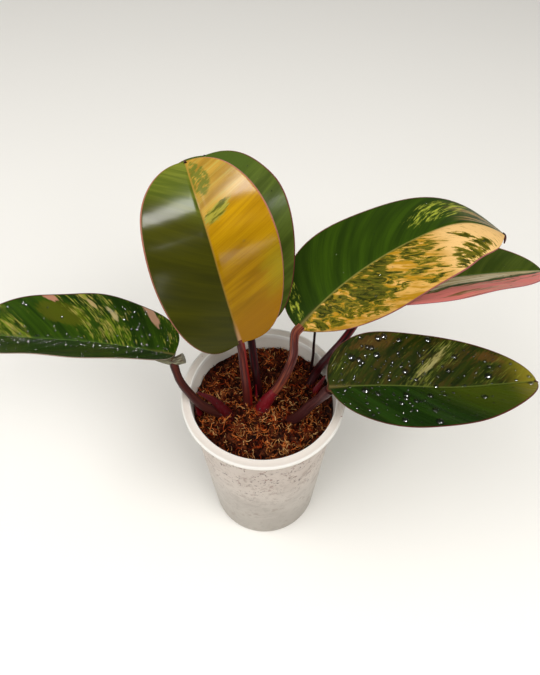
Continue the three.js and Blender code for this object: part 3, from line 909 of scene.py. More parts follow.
def make_blade(name, leaf, material, settings):
    """One blade as a closed thin mesh with a rounded margin"""
    theta = np.linspace(0, math.pi, settings.rows + 1)
    even = np.linspace(-1, 1, 2 * settings.columns + 1)
    hand_out = np.sign(even) * np.abs(even) ** COLUMN_CROWDING
    top, bottom, places = blade_surface(leaf, theta, hand_out, settings)

    def rim(edge, inner):
        """One more column of points, half way down a margin and a little outside it"""
        middle = (top[:, edge] + bottom[:, edge]) / 2
        outwards = top[:, edge] - top[:, inner]
        outwards /= np.linalg.norm(outwards, axis=1)[:, None] + 1e-9
        return (middle + outwards * settings.edge_thickness / MM * 0.5)[:, None]

    def round_ring(data):
        """A value of the upper side, copied to the rims and the underside"""
        ring = np.concatenate([data, data[:, -1:], data[:, ::-1], data[:, :1]], axis=1)
        return ring.reshape(-1, data.shape[-1])

    rings = np.concatenate([top, rim(-1, -2), bottom[:, ::-1], rim(0, 1)], axis=1)
    width = len(hand_out)
    sides = rings.shape[1]
    values = {key: round_ring(data) for key, data in places.items()}
    back = np.zeros(rings.shape[:2])
    back[:, width] = 0.5
    back[:, width + 1 : -1] = 1.0
    back[:, -1] = 0.5
    values["back"] = back.reshape(-1)
    values["wet"] = round_ring(wetness(name, places)[..., None])[:, 0]
    values["wet"] *= values["back"] < 0.25
    faces = skin(len(theta), sides)
    faces += [tuple(reversed(face)) for face in end_cap(0, width)]
    faces += end_cap((len(theta) - 1) * sides, width)
    points = rings.reshape(-1, 3)
    return mesh_object(f"blade_{name}", points, outward(points, faces), material, values)


def end_cap(start, width):
    """The faces that close a blade's end, from the upper side's points to those under them"""
    last_top, right_rim = start + width - 1, start + width
    last_bottom, left_rim = start + 2 * width, start + 2 * width + 1
    faces = []
    for j in range(width - 1):
        under = last_bottom - j
        faces.append((start + j, start + j + 1, under - 1, under))
    faces.append((last_top, right_rim, right_rim + 1))
    faces.append((start, last_bottom, left_rim))
    return faces


# How many drops lie all over each blade, from 0 to 1

WETNESS = {"a": 0.05, "b": 0.0, "c": 0.12, "d": 0.05, "e": 0.10, "f": 0.30}


def wetness(name, places):
    """How many drops lie at each place of a blade, from 0 to 1"""
    vein, spread, _ = np.moveaxis(places["vein"], -1, 0)
    hand_out, inset, along = np.moveaxis(places["face"], -1, 0)
    amount = WETNESS[name] + 0 * vein
    if name == "a":
        amount = amount + 0.9 * np.exp(-(((spread + 4) / 5) ** 2)) * (along < 0.8)
        amount = amount + 0.3 * (along < 0.35)
    elif name == "b":
        amount = amount + 0.02 * (spread > 0) * (vein > 30) * (vein < 70)
    elif name == "f":
        amount = amount + 0.70 * np.exp(-(((along - 0.2) / 0.25) ** 2))
        amount = amount + 0.2 * (spread < 0)
    inside = np.clip(inset / 3 - 0.3, 0, 1) * (np.abs(hand_out) < 0.97)
    return amount * inside


# Blade colours: how far apart in the noise the two halves of a blade lie, and how ragged a patch can be

HALF_SHIFT = 3.7
PATCH_RAGGEDNESS = 3.4


class BladePlace:
    """The places on a blade that its colours follow, read from the mesh"""

    def __init__(self, graph):
        self.graph = graph
        self.vein, self.spread, _ = graph.parts(graph.attribute("vein")["Vector"])
        self.out, self.inset, self.along = graph.parts(graph.attribute("face")["Vector"])
        self.back = graph.attribute("back")["Fac"]
        self.away = graph.size(self.spread)
        self.hand = graph.math("SIGN", self.spread)

    def grain(self, across, long, seed, detail=3.0, roughness=0.55, distortion=0.0):
        """Noise drawn out along the side veins. across and long are its sizes in millimetres.

        The two halves take it from places far enough apart to differ.
        """
        graph = self.graph
        place = graph.vector(
            graph.times(self.vein, 1 / across),
            graph.times(self.away, 1 / long),
            graph.add(graph.times(self.hand, HALF_SHIFT), seed),
        )
        return graph.noise(place, 1.0, detail, roughness, distortion)

    def patch(self, vein, out, length, width, ragged, seed):
        """A ragged patch round a place, as long across the veins and as wide along them as said"""
        graph = self.graph
        along_veins = graph.times(graph.less(self.vein, vein), 1 / length)
        over_veins = graph.times(graph.less(self.out, out), 1 / width)
        reach = graph.length(along_veins, over_veins)
        uneven = graph.less(self.grain(1.1, 4.5, seed, 5.0, 0.68), 0.5)
        rough = graph.times(uneven, ragged * PATCH_RAGGEDNESS)
        return graph.rise(graph.add(graph.less(1.0, reach), rough), -0.05, 0.25)

    def lengthwise(self, across, long, seed):
        """Noise drawn out along the blade.

        across is a share of a half blade's width, and long is a share of the blade's length.
        """
        graph = self.graph
        place = graph.vector(graph.times(self.along, 1 / long), graph.times(self.out, 1 / across), seed)
        return graph.noise(place, 1.0, 4.0, 0.6)

    def right_half(self, soft=0.8):
        """1 on the right half, and 0 on the left"""
        return self.graph.rise(self.spread, -soft, soft)


def blade_green(place, dark, light, seed, contrast=1.0):
    """One colour with a fine grain, in soft light and dark bands along the side veins that paint the shade
    of the blade's broad ripples
    """
    graph = place.graph
    # Painted shade and light of the ripples, in bands along the veins
    bands = graph.rise(place.grain(5.5, 40, seed, 2.0), 0.5 - 0.2 / contrast, 0.5 + 0.2 / contrast)
    fine = place.grain(0.7, 30, seed + 5, 2.0)
    colour = graph.mixed(bands, tint(dark), tint(light))
    return graph.over(colour, dark, graph.rise(fine, 0.35, 0.7), 0.4)


def streaks(place, amount, across, long, seed, sharp=0.06):
    """Thin broken streaks along the side veins. amount, from 0 to 1, may vary over the blade."""
    graph = place.graph
    fine = place.grain(across, long, seed, 3.0, 0.6)
    clumps = place.grain(5.0, 9.0, seed + 11, 2.0)
    level = graph.add(fine, graph.times(graph.less(clumps, 0.5), 0.45))
    threshold = graph.less(0.84, graph.times(amount, 0.4))
    return graph.rise(level, threshold, graph.add(threshold, sharp))


# The cream patches of leaf a: where they lie along the vein and out from it, their length and width, how
# ragged they are, and their colour
CREAM_PATCHES = [
    (47, 0.95, 3.4, 0.12, 0.4, "b9846a"), (5, 0.9, 2.3, 0.30, 0.45, "c79a7c"),
    (24, 0.62, 1.7, 0.13, 0.6, "b7a875"), (30, 0.8, 1.2, 0.12, 0.6, "b09a66"),
]


def paint_a(place):
    """Deep green, with clusters of lime streaks and a few cream patches on the far half"""
    graph = place.graph
    far = place.right_half(0.5)
    near_green = blade_green(place, "1b3207", "304c0a", 1.0)
    far_green = blade_green(place, "193004", "365209", 2.0, 1.2)
    olive_patch = graph.times(place.patch(50, 0.6, 13, 0.3, 0.3, 41.0), 0.7)
    far_green = graph.over(far_green, "56590f", olive_patch)
    colour = graph.mixed(far, near_green, far_green)
    amount = graph.profile(
        place.vein, (0, 0.62), (5, 0.5), (9, 0.3), (15, 0.4), (22, 0.6), (30, 0.8), (42, 0.68),
        (50, 0.3), (74, 0.32), (82, 0.75), (106, 0.8), (120, 0.5),
    )
    lime = streaks(place, graph.add(amount, 0.08), 0.5, 5.0, 3.0)
    thick = streaks(place, graph.less(amount, 0.14), 1.1, 6.0, 6.0)
    lime = graph.times(graph.greater(lime, thick), graph.add(0.08, graph.times(far, 0.8)))
    shade = graph.mixed(graph.rise(place.grain(2.2, 5, 8.0), 0.4, 0.62), tint("768a1e"), tint("aea04e"))
    colour = graph.mixed(lime, colour, shade)
    for vein, out, length, width, ragged, code in CREAM_PATCHES:
        colour = graph.over(colour, code, place.patch(vein, out, length, width, ragged, vein))
    return colour


def golden_half(place):
    """Gold with fine veins, greener low on its margin

    Above it a wedge of olive comes before a cream top, which has a dark oval on it.
    """
    graph = place.graph
    gold = blade_green(place, "805a02", "a87f06", 6.0, 0.85)
    margin = graph.rise(graph.add(place.out, graph.times(place.grain(3, 14, 11.0), 0.5)), 0.80, 1.15)
    low_margin = graph.times(margin, graph.rise(place.vein, 45, 25))
    gold = graph.over(gold, "988610", low_margin, 0.8)
    gold = graph.over(gold, "926404", graph.rise(place.vein, 22, 6))
    cream = blade_green(place, "846420", "a58332", 7.0)
    sage = graph.rise(place.grain(1.6, 30, 16.0), 0.5, 0.66)
    cream = graph.over(cream, "8f9048", sage, 0.35)
    height = graph.add(place.vein, graph.times(place.grain(2.2, 8, 9.0), 3.0))
    gold = graph.mixed(graph.rise(height, 70.0, 72.5), gold, cream)
    mottled = graph.rise(place.grain(1.8, 3.5, 12.0, 4.0, 0.62), 0.36, 0.52)
    oval = graph.times(place.patch(91, 0.22, 13.0, 0.27, 0.25, 3.0), mottled)
    wedge = place.patch(68.0, 0.26, 3.6, 0.30, 0.55, 4.0)
    gold = graph.over(gold, "4c5a1c", oval, 0.85)
    shaded = graph.mixed(graph.rise(place.grain(1.5, 9, 19.0), 0.42, 0.56), tint("3a4812"), tint("84812f"))
    gold = graph.mixed(graph.times(wedge, 0.9), gold, shaded)
    veins = graph.rise(place.grain(0.28, 60, 18.0, 1.0), 0.50, 0.66)
    return graph.over(gold, "6a4a08", veins, 0.22)


def paint_b(place):
    """The left half dark olive, fresher at the tip, and the right half golden"""
    graph = place.graph
    olive = blade_green(place, "2d2e07", "3c3c06", 2.0, 0.7)
    fresh = blade_green(place, "38440c", "646a22", 4.0, 0.8)
    olive = graph.mixed(graph.rise(place.vein, 62, 84), olive, fresh)
    return graph.mixed(place.right_half(0.3), olive, golden_half(place))


def paint_c(place):
    """Olive green in soft bands of painted ripple shade, with a few pale streaks"""
    graph = place.graph
    colour = blade_green(place, "34400f", "4c5a1c", 3.0)
    colour = graph.over(colour, "394912", graph.rise(place.vein, 60, 85))
    pale = streaks(place, 0.3, 1.2, 9.0, 14.0)
    return graph.over(colour, "6f8a40", pale, 0.4)


def cream_share(place):
    """How much cream the marbling has at each place, mostly from 0 to 1"""
    graph = place.graph
    share = graph.profile(
        place.along, (0.0, 0.42), (0.1, 0.46), (0.2, 0.36), (0.32, 0.28), (0.42, 0.36), (0.5, 0.52),
        (0.57, 0.42), (0.64, 0.52), (0.71, 0.90), (0.8, 0.92), (0.9, 0.84), (1.0, 0.9),
    )
    low_margin = graph.times(graph.rise(place.out, 0.62, 0.9), graph.rise(place.along, 0.60, 0.5))
    share = graph.add(share, graph.times(low_margin, 0.42))
    share = graph.add(share, graph.times(graph.rise(place.inset, 3, 1.2), 0.25))
    share = graph.add(share, graph.times(place.patch(52.5, 0.36, 4.5, 0.16, 0.3, 5.0), 0.5))
    share = graph.less(share, graph.times(place.patch(90.5, 0.34, 3.6, 0.17, 0.4, 6.0), 0.35))
    beyond = graph.times(graph.rise(place.out, 0.42, 0.66), graph.rise(place.along, 0.68, 0.76))
    return graph.less(share, graph.times(beyond, graph.rise(place.along, 1.0, 0.9), 0.54))


def marbled_half(place):
    """Cream and gold marbling over mottled olive, with a golden fringe between them"""
    graph = place.graph
    cream = graph.mixed(graph.rise(place.grain(3, 7, 21.0), 0.38, 0.62), tint("b8881c"), tint("e0ae5c"))
    cream = graph.over(cream, "f2c682", graph.rise(place.along, 0.62, 0.76))
    clouds = graph.rise(place.grain(1.6, 3.5, 8.0, 4.0), 0.36, 0.6)
    olive = graph.mixed(clouds, tint("2c3308"), tint("5a5a14"))
    marble = place.grain(4.0, 5.6, 17.0, 5.0, 0.64, 1.1)
    level = graph.less(0.72, graph.times(cream_share(place), 0.44))
    fringe = graph.rise(marble, graph.less(level, 0.07), graph.less(level, 0.01))
    mid = graph.over(olive, "84761c", fringe)
    near = graph.mixed(graph.rise(marble, level, graph.add(level, 0.05)), mid, cream)
    specks = graph.rise(place.grain(1.1, 2.0, 29.0, 4.0, 0.6), 0.56, 0.66)
    return graph.over(near, "8c7220", specks, 0.4)


def paint_d(place):
    """The far half green with lime mottling and a striped tip, and the near half marbled"""
    graph = place.graph
    green = blade_green(place, "263b06", "3b560a", 5.0, 0.8)
    green = graph.over(green, "1c2d08", graph.rise(place.vein, 26, 0), 0.6)
    high, low = place.patch(83, -0.6, 15, 0.36, 0.5, 1.0), place.patch(4, -0.45, 4.0, 0.4, 0.4, 2.0)
    lime = graph.times(streaks(place, 0.95, 1.5, 4.0, 6.0, 0.22), graph.greater(high, low), 0.9)
    green = graph.over(green, "bec646", lime)
    stripes = graph.rise(place.lengthwise(0.11, 0.5, 3.0), 0.44, 0.56)
    at_tip = graph.times(graph.rise(place.along, 0.77, 0.87), graph.rise(place.out, -0.95, -0.7))
    green = graph.over(green, "c09a62", stripes, at_tip, 0.85)
    return graph.mixed(place.right_half(0.3), green, marbled_half(place))


def paint_e(place):
    """The far half dark green, the near half sage and coral pink with dark streaks"""
    graph = place.graph
    green = blade_green(place, "384a0e", "50601a", 9.0)
    wavy = graph.add(place.out, graph.times(graph.less(place.lengthwise(0.5, 0.16, 15.0), 0.5), 0.30))
    fine = place.lengthwise(0.07, 0.35, 19.0)
    sage = graph.mixed(graph.rise(fine, 0.42, 0.6), tint("d4be86"), tint("fff0cc"))
    flushed = graph.rise(place.lengthwise(0.12, 0.3, 23.0), 0.36, 0.46)
    pink = graph.mixed(flushed, tint("8d6a3c"), tint("f88c82"))
    pink = graph.over(pink, "eaa48c", graph.rise(fine, 0.54, 0.66))
    streaked = graph.over(green, "a88a68", graph.rise(fine, 0.56, 0.64))
    near = graph.mixed(graph.rise(wavy, 0.0, 0.05), green, sage)
    near = graph.mixed(graph.rise(wavy, 0.33, 0.39), near, streaked)
    near = graph.mixed(graph.rise(wavy, 0.46, 0.52), near, pink)
    return graph.mixed(place.right_half(0.4), green, near)


def paint_f(place):
    """Dark green, with lime streaks, a pale patch and brown margins on the far half, and an olive tip"""
    graph = place.graph
    near_green = blade_green(place, "152c07", "25420c", 11.0)
    near_green = graph.over(near_green, "4f5a10", graph.rise(place.vein, 40, 85), 0.7)
    far_green = blade_green(place, "1a2405", "323c0b", 12.0, 1.2)
    amount = graph.profile(
        place.vein, (0, 0.5), (12, 0.5), (20, 0.28), (30, 0.42), (38, 0.3), (45, 0.75),
        (58, 0.7), (66, 0.25), (78, 0.3), (84, 0.6), (100, 0.55),
    )
    clouds = graph.rise(place.grain(4, 9, 14.0, 4.0, 0.6), 0.46, 0.66)
    far_green = graph.over(far_green, "3e360f", clouds)
    lime = streaks(place, graph.add(amount, 0.1), 0.4, 6.0, 27.0, 0.1)
    far_green = graph.over(far_green, "7e8434", lime, 0.75)
    ragged = streaks(place, 0.95, 0.7, 4.0, 33.0, 0.1)
    pale = graph.times(place.patch(49, -0.5, 3.4, 0.42, 0.5, 7.0), ragged)
    far_green = graph.over(far_green, "a39a5c", pale, 0.8)
    heart = place.patch(50.5, -0.42, 1.3, 0.17, 0.35, 8.0)
    far_green = graph.over(far_green, "a8a068", heart, 0.6)
    low, high = place.patch(9, -0.8, 11, 0.17, 0.8, 5.0), place.patch(78, -0.8, 12, 0.14, 0.8, 9.0)
    far_green = graph.over(far_green, "66421e", graph.greater(low, high), 0.48)
    colour = graph.mixed(place.right_half(0.35), far_green, near_green)
    return graph.over(colour, "968a26", graph.rise(place.along, 0.84, 1.0), 0.75)


BLADE_LOOKS = {
    "a": dict(
        paint=paint_a, slot="leaf_green", rough=0.30,
        # Leaf a's pale left margin is a painted highlight where the edge catches the light
        midrib="4a6a1e", margin="5a2a2a", left_margin="b89890",
    ),
    "b": dict(
        paint=paint_b, slot="leaf_gold", rough=0.22, relief=0.10,
        midrib="8a6a26", margin="8f5c4c", foot="b58a68",
    ),
    "c": dict(paint=paint_c, slot="leaf_green", rough=0.50, midrib="5f7f3a", margin="5a2326"),
    "d": dict(paint=paint_d, slot="leaf_marbled", rough=0.40, midrib="8a8440", margin="9a5a58"),
    "e": dict(paint=paint_e, slot="leaf_pink", rough=0.35, midrib="7a8a55", margin="b0606a"),
    "f": dict(paint=paint_f, slot="leaf_dark", rough=0.28, midrib="5c6a2c", margin="5c2226"),
}
PLAIN_FOOT = "6a5a34"
PLAIN_RELIEF = 0.35


def blade_material(name, look):
    """One blade's finish: paint, midrib, margin, underside, gloss and fine relief"""
    material, graph, shader = new_material(
        f"blade_{name}", look["rough"], IOR=1.20, Coat_Weight=0.05, Coat_Roughness=0.16, Coat_IOR=1.4
    )
    place = BladePlace(graph)
    colour = look["paint"](place)
    midrib = graph.times(graph.rise(place.away, 0.65, 0.2), graph.rise(place.inset, 0.5, 2.0))
    colour = graph.over(colour, look["midrib"], midrib, 0.7)
    foot = graph.times(graph.rise(place.away, 1.5, 0.4), graph.rise(place.along, 0.16, 0.0))
    colour = graph.over(colour, look.get("foot", PLAIN_FOOT), foot, 0.7)
    # A left margin of its own, on leaf a, is a painted highlight along that edge
    left_margin = tint(look.get("left_margin", look["margin"]))
    margin = graph.over(left_margin, look["margin"], place.right_half())
    colour = graph.mixed(graph.rise(place.inset, 0.65, 0.3), colour, margin)
    under = graph.mixed(place.grain(5, 30, 31.0), tint("4a5a26"), tint("66552f"))
    under = graph.over(under, "6f3a30", graph.rise(place.away, 2.6, 1.4))
    colour = graph.mixed(graph.rise(place.back, 0.3, 0.7), colour, under)
    graph.feed(shader.inputs["Base Color"], colour)
    fine = graph.add(
        graph.times(place.grain(0.55, 22, 33.0, 2.0), 0.5),
        graph.times(place.grain(2.4, 14, 35.0, 3.0), 0.8),
        graph.times(place.grain(0.3, 0.5, 37.0, 2.0), 0.12),
    )
    bump(graph, shader, fine, 0.00020, look.get("relief", PLAIN_RELIEF))
    uneven = graph.add(look["rough"] - 0.05, graph.times(place.grain(3, 10, 39.0), 0.1))
    graph.feed(shader.inputs["Roughness"], uneven)
    return material


# Other finishes


def stalk_material(name, dark, mid, light, painted_side_highlight=None):
    """Smooth stalk skin with stripes along it, the light ones fading out towards the foot as a painted
    highlight near the top, and a painted highlight on its right side.

    dark is a colour, and mid, light and flush are colour codes.
    """
    material, graph, shader = new_material(name, 0.34, IOR=1.3, Coat_Weight=0.06, Coat_Roughness=0.15)
    along = graph.attribute("along")["Fac"]
    angle = graph.times(graph.attribute("around")["Fac"], 2 * math.pi)
    place = graph.vector(
        graph.times(graph.math("COSINE", angle), 1.5),
        graph.times(graph.math("SINE", angle), 1.5),
        graph.times(along, 2.0),
    )
    stripes = graph.noise(place, 1.3, 3.0, 0.55)
    fine = graph.noise(place, 5.0, 3.0, 0.6)
    mottled = graph.add(graph.times(stripes, 0.7), graph.times(fine, 0.3))
    colour = graph.over(dark, mid, graph.rise(mottled, 0.40, 0.58))
    # The light stripes fade out towards the foot: a painted highlight near the top
    lit = graph.times(graph.rise(along, 0.15, 1.0), graph.rise(stripes, 0.48, 0.62))
    colour = graph.over(colour, light, lit, 0.75)
    # A painted highlight on the side that faces right and towards the front
    if painted_side_highlight:
        across, ahead, _ = graph.normal_parts()
        right = graph.times(graph.rise(across, 0.45, 0.85), graph.rise(ahead, 0.5, -0.2))
        colour = graph.over(colour, painted_side_highlight, right, 0.8)
    graph.feed(shader.inputs["Base Color"], colour)
    bump(graph, shader, fine, 0.0002, 0.35)
    return material


def sheath_material(name, colour_of):
    """Crimson sheath skin, darker at its foot, with thin stripes"""
    material, graph, shader = new_material(name, 0.30, IOR=1.35, Coat_Weight=0.08, Coat_Roughness=0.12)
    stripes = graph.noise(graph.squeezed(graph.object_place(), (1100, 1100, 160)), 1.0, 3.0, 0.6)
    red, green, blue = colour_of
    bright = (red, green, blue, 1.0)
    dark = (red * 0.22, green * 0.5, blue * 0.5, 1.0)
    pale = (min(red * 1.8, 1), green + 0.02, blue + 0.03, 1.0)
    along = graph.attribute("along")["Fac"]
    colour = graph.mixed(graph.rise(along, 0.0, 0.45), dark, bright)
    colour = graph.mixed(graph.times(graph.rise(stripes, 0.5, 0.75), 0.6), colour, pale)
    graph.feed(shader.inputs["Base Color"], colour)
    bump(graph, shader, stripes, 0.0002, 0.35)
    return material


# Where the pot's finishes change, in metres: the heights between which the wall's ends and the flange's top
# starts, and the radii between which the flange's raised outer and inner edges start. These edges are
# painted whiter as a painted highlight.

LIP_END = (0.1205, 0.1185)
FLANGE_TOP = (0.1205, 0.1225)
OUTER_EDGE = (0.0438, 0.0444)
INNER_EDGE = (0.0410, 0.0404)


def pot_material(settings):
    """Frosted cloudy plastic with brown specks under the rim and faint smudges.

    Its wall has painted shade towards the foot and painted light higher up and on the inner side, and the
    rim's edges have painted highlights.
    """
    material, graph, shader = new_material(
        "frosted_plastic", 0.38, Coat_Weight=0.1, Coat_Roughness=0.3,
        Subsurface_Weight=0.12, Subsurface_Scale=0.004, Subsurface_Radius=(1.0, 0.95, 0.88),
    )
    place = graph.object_place()
    x, y, z = graph.parts(place)
    wall = graph.rise(z, *LIP_END)
    upper = graph.times(graph.rise(z, 0.045, 0.1), wall)
    squeezed = graph.squeezed(place, (1.0, 1.0, 0.8))

    clear = (*settings.colours.pot, 1.0)
    clouds = graph.noise(place, 38.0, 4.0, 0.55, 0.3)
    colour = graph.over(clear, "94887e", graph.rise(clouds, 0.38, 0.68), 0.42)
    grime = graph.noise(place, 230.0, 4.0, 0.65)
    colour = graph.over(colour, "7c6e62", graph.rise(grime, 0.5, 0.66), 0.32)
    # Painted shade towards the foot of the wall, and painted light, a little pink, on its upper part
    colour = graph.over(colour, "8a8276", graph.rise(z, 0.085, 0.0), 0.62)
    colour = graph.over(colour, "d0b8aa", upper, 0.28)

    smudges = graph.rise(graph.noise(squeezed, 120.0, 4.0, 0.62), 0.58, 0.68)
    colour = graph.over(colour, "806856", smudges, wall, 0.46)
    clumped = graph.rise(graph.noise(place, 90.0, 2.0, 0.5), 0.42, 0.56)
    blotches = graph.rise(graph.noise(squeezed, 270.0, 4.0, 0.7), 0.56, 0.61)
    colour = graph.over(colour, "784634", blotches, clumped, upper, 0.72)
    grains = graph.rise(graph.noise(squeezed, 560.0, 2.0, 0.6), 0.60, 0.64)
    speck = graph.times(grains, clumped, graph.add(0.12, graph.times(upper, 0.88)), wall)
    colour = graph.over(colour, "4a2a1a", speck, 0.95)

    reach = graph.length(x, y)
    ahead, beside, _ = graph.normal_parts()
    outwards = graph.math("DIVIDE", graph.add(graph.times(ahead, x), graph.times(beside, y)), reach)
    # The inner wall is painted paler: painted light on a wall that lies in shade
    inner = graph.times(graph.rise(outwards, -0.3, -0.6), graph.rise(z, 0.07, 0.09))
    colour = graph.over(colour, "efe9e0", inner, 0.9)

    rim = graph.rise(z, *FLANGE_TOP)
    # The raised edges of the flange are painted whiter: painted highlights
    painted_edge_highlight = graph.greater(graph.rise(reach, *OUTER_EDGE), graph.rise(reach, *INNER_EDGE))
    top = graph.mixed(painted_edge_highlight, tint("efe6de"), tint("fdfaf5"))
    colour = graph.mixed(graph.times(rim, 0.9), colour, top)
    few = graph.rise(graph.noise(place, 240.0, 2.0, 0.5), 0.70, 0.74)
    colour = graph.over(colour, "8f5a45", few, rim, 0.85)
    graph.feed(shader.inputs["Base Color"], colour)
    bump(graph, shader, graph.add(clouds, graph.times(grime, 0.4)), 0.0006, 0.15)
    return material


def mix_material(name, dark, mid, light, scale=400.0, tone=None):
    """Loose brown growing mix, lighter where the attribute named by tone is high"""
    material, graph, shader = new_material(name, 0.7, IOR=1.22)
    place = graph.object_place()
    value = graph.noise(place, scale, 4.0, 0.6)
    broad = graph.noise(place, 90.0, 2.0, 0.5)
    colour = graph.mixed(graph.rise(value, 0.35, 0.6), tint(dark), tint(mid))
    bright = graph.add(graph.times(value, 0.5), graph.times(broad, 0.5))
    if tone:
        bright = graph.add(graph.times(bright, 0.5), graph.times(graph.attribute(tone)["Fac"], 0.5))
    colour = graph.over(colour, light, graph.rise(bright, 0.46, 0.68))
    graph.feed(shader.inputs["Base Color"], colour)
    bump(graph, shader, value, 0.0006, 0.8)
    return material


def water_material():
    """Water with a dull dark green tint, painted shade that darkens the drops over the leaves"""
    material, _, shader = new_material("water", 0.17, IOR=1.42, Transmission_Weight=1.0)
    # The dull green tint is painted shade in the drops' bodies
    shader.inputs["Base Color"].default_value = (0.66, 0.76, 0.56, 1.0)
    return material


def floor_material(shade):
    """Plain pale floor"""
    material, graph, shader = new_material("pale_floor", 0.6)
    value = graph.noise(graph.object_place(), 6.0, 2.0, 0.5)
    pale = (*shade, 1.0)
    deeper = (*[0.985 * v for v in shade], 1.0)
    graph.feed(shader.inputs["Base Color"], graph.mixed(value, pale, deeper))
    return material


# The pot


def inner_radius(z):
    """The radius of the wall's inner side at a height"""
    return between(BASE_RADIUS - WALL, MOUTH_RADIUS, z / POT_HEIGHT)


def arc(centre, radius, start, end, steps):
    """Points on an arc, from one angle in degrees to the other"""
    angles = np.radians(np.linspace(start, end, steps + 1))
    return [(centre[0] + radius * math.cos(a), centre[1] + radius * math.sin(a)) for a in angles]


def pot_profile():
    """Half the pot's section, from the middle of its underside round the rim to the middle of its floor"""
    under_flange = POT_HEIGHT - FLANGE
    flange_top = POT_HEIGHT - FLANGE_DIP
    lip_inside = RIM_RADIUS - WALL
    wall_top = inner_radius(under_flange) + WALL
    corner = BASE_RADIUS - CORNER_RADIUS
    ring = corner - FOOT_RING
    inner_corner = CORNER_RADIUS + FLOOR
    return [
        (0, FOOT_RECESS),
        (ring - 1, FOOT_RECESS),
        *arc((ring, FOOT_RECESS), FOOT_RECESS, 180, 270, 3)[1:],
        *arc((corner, CORNER_RADIUS), CORNER_RADIUS, -90, -3, 9),
        *[(between(BASE_RADIUS, wall_top, s), between(0, under_flange, s)) for s in (0.33, 0.66)],
        *arc((wall_top + FLANGE_FILLET, under_flange - FLANGE_FILLET), FLANGE_FILLET, 180, 90, 4),
        *arc((lip_inside - LIP_FILLET, under_flange - LIP_FILLET), LIP_FILLET, 90, 0, 3),
        *arc((lip_inside + LIP_ROUNDING, POT_HEIGHT - LIP_DROP + LIP_ROUNDING), LIP_ROUNDING, 180, 360, 6),
        *arc((RIM_RADIUS - LIP_ROUNDING, POT_HEIGHT - LIP_ROUNDING), LIP_ROUNDING, 0, 100, 5),
        (RIM_RADIUS - OUTER_BEAD, flange_top),
        (MOUTH_RADIUS + INNER_BEAD, flange_top),
        *arc((MOUTH_RADIUS + MOUTH_ROUNDING, POT_HEIGHT - MOUTH_ROUNDING), MOUTH_ROUNDING, 80, 180, 5),
        *[(inner_radius(height), height) for height in (100, 60, inner_corner)],
        *arc((inner_radius(0) - CORNER_RADIUS, inner_corner), CORNER_RADIUS, -20, -90, 5),
        (0, FLOOR),
    ]


def drain_drill(angles, material):
    """One object with a short upright cylinder through the floor at each drain hole"""
    points = []
    faces = []
    around = len(angles)
    for hole in range(DRAIN_HOLES):
        turn = 2 * math.pi * hole / DRAIN_HOLES
        x, y = DRAIN_CIRCLE * math.cos(turn), DRAIN_CIRCLE * math.sin(turn)
        start = len(points)
        ring = [(x + DRAIN_RADIUS * math.cos(a), y + DRAIN_RADIUS * math.sin(a)) for a in angles]
        for height in (-1.0, 2 * FLOOR):
            points += [(*place, height) for place in ring]
        for j in range(around):
            k = (j + 1) % around
            faces.append((start + j, start + k, start + around + k, start + around + j))
        faces.append(tuple(start + j for j in reversed(range(around))))
        faces.append(tuple(start + around + j for j in range(around)))
    return mesh_object("drain_drill", points, outward(points, faces), material)


def merge_close(mesh, distance):
    """Join the points that a cut leaves almost in one place"""
    work = bmesh.new()
    work.from_mesh(mesh)
    bmesh.ops.remove_doubles(work, verts=work.verts, dist=distance)
    bmesh.ops.dissolve_degenerate(work, dist=distance, edges=work.edges)
    work.to_mesh(mesh)
    work.free()


def make_pot(settings):
    """The cup turned from its section, with the drain holes cut through its floor"""
    profile = np.array(pot_profile())
    angles = 2 * math.pi * np.arange(POT_SIDES) / POT_SIDES
    middle = profile[1:-1]
    count = len(middle)
    points = [(r * math.cos(a), r * math.sin(a), z) for a in angles for r, z in middle]
    underside, floor = len(points), len(points) + 1
    points += [(0, 0, profile[0][1]), (0, 0, profile[-1][1])]
    faces = []
    for i in range(POT_SIDES):
        here = i * count
        there = ((i + 1) % POT_SIDES) * count
        faces += [(here + j, there + j, there + j + 1, here + j + 1) for j in range(count - 1)]
        faces.append((underside, there, here))
        faces.append((floor, here + count - 1, there + count - 1))
    plastic = pot_material(settings)
    pot = mesh_object("cup", points, outward(points, faces), plastic)
    drill = drain_drill(angles[:: POT_SIDES // DRAIN_SIDES], plastic)
    cut = pot.modifiers.new("drain_holes", "BOOLEAN")
    cut.object = drill
    cut.solver = "EXACT"
    mesh = plain_mesh(pot)
    pot.modifiers.remove(cut)
    pot.data = mesh
    bpy.data.objects.remove(drill)
    merge_close(mesh, SAME_PLACE * MM)
    mesh.shade_smooth()
    mesh.set_sharp_from_angle(angle=math.radians(SHARP_DEGREES))
    return finish_piece(pot, "pot", "pot")


# The growing mix


def lattice(i, j):
    """A number from 0 to 1 for each point of a grid, always the same for the same point"""
    value = np.sin(i * 127.1 + j * 311.7 + MIX_SEED) * 43758.5453
    return value - np.floor(value)


def lumps(x, y):
    """Smooth lumps between the grid's points, from 0 to 1"""
    i, j = np.floor(x), np.floor(y)
    u, v = x - i, y - j
    u, v = u * u * (3 - 2 * u), v * v * (3 - 2 * v)
    near = between(lattice(i, j), lattice(i + 1, j), u)
    far = between(lattice(i, j + 1), lattice(i + 1, j + 1), u)
    return between(near, far, v)


def mix_top(x, y):
    """The height of the growing mix, as its solid has it"""
    share = np.minimum(np.hypot(x, y) / inner_radius(MIX_LEVEL), 1)
    coarse = lumps(x / MIX_LUMP_SIZE, y / MIX_LUMP_SIZE) - 0.5
    fine = lumps(2.3 * x / MIX_LUMP_SIZE + 9, 2.3 * y / MIX_LUMP_SIZE) - 0.5
    return MIX_LEVEL + MIX_CROWN * (1 - share**2) + MIX_RELIEF * (coarse + 0.6 * fine)


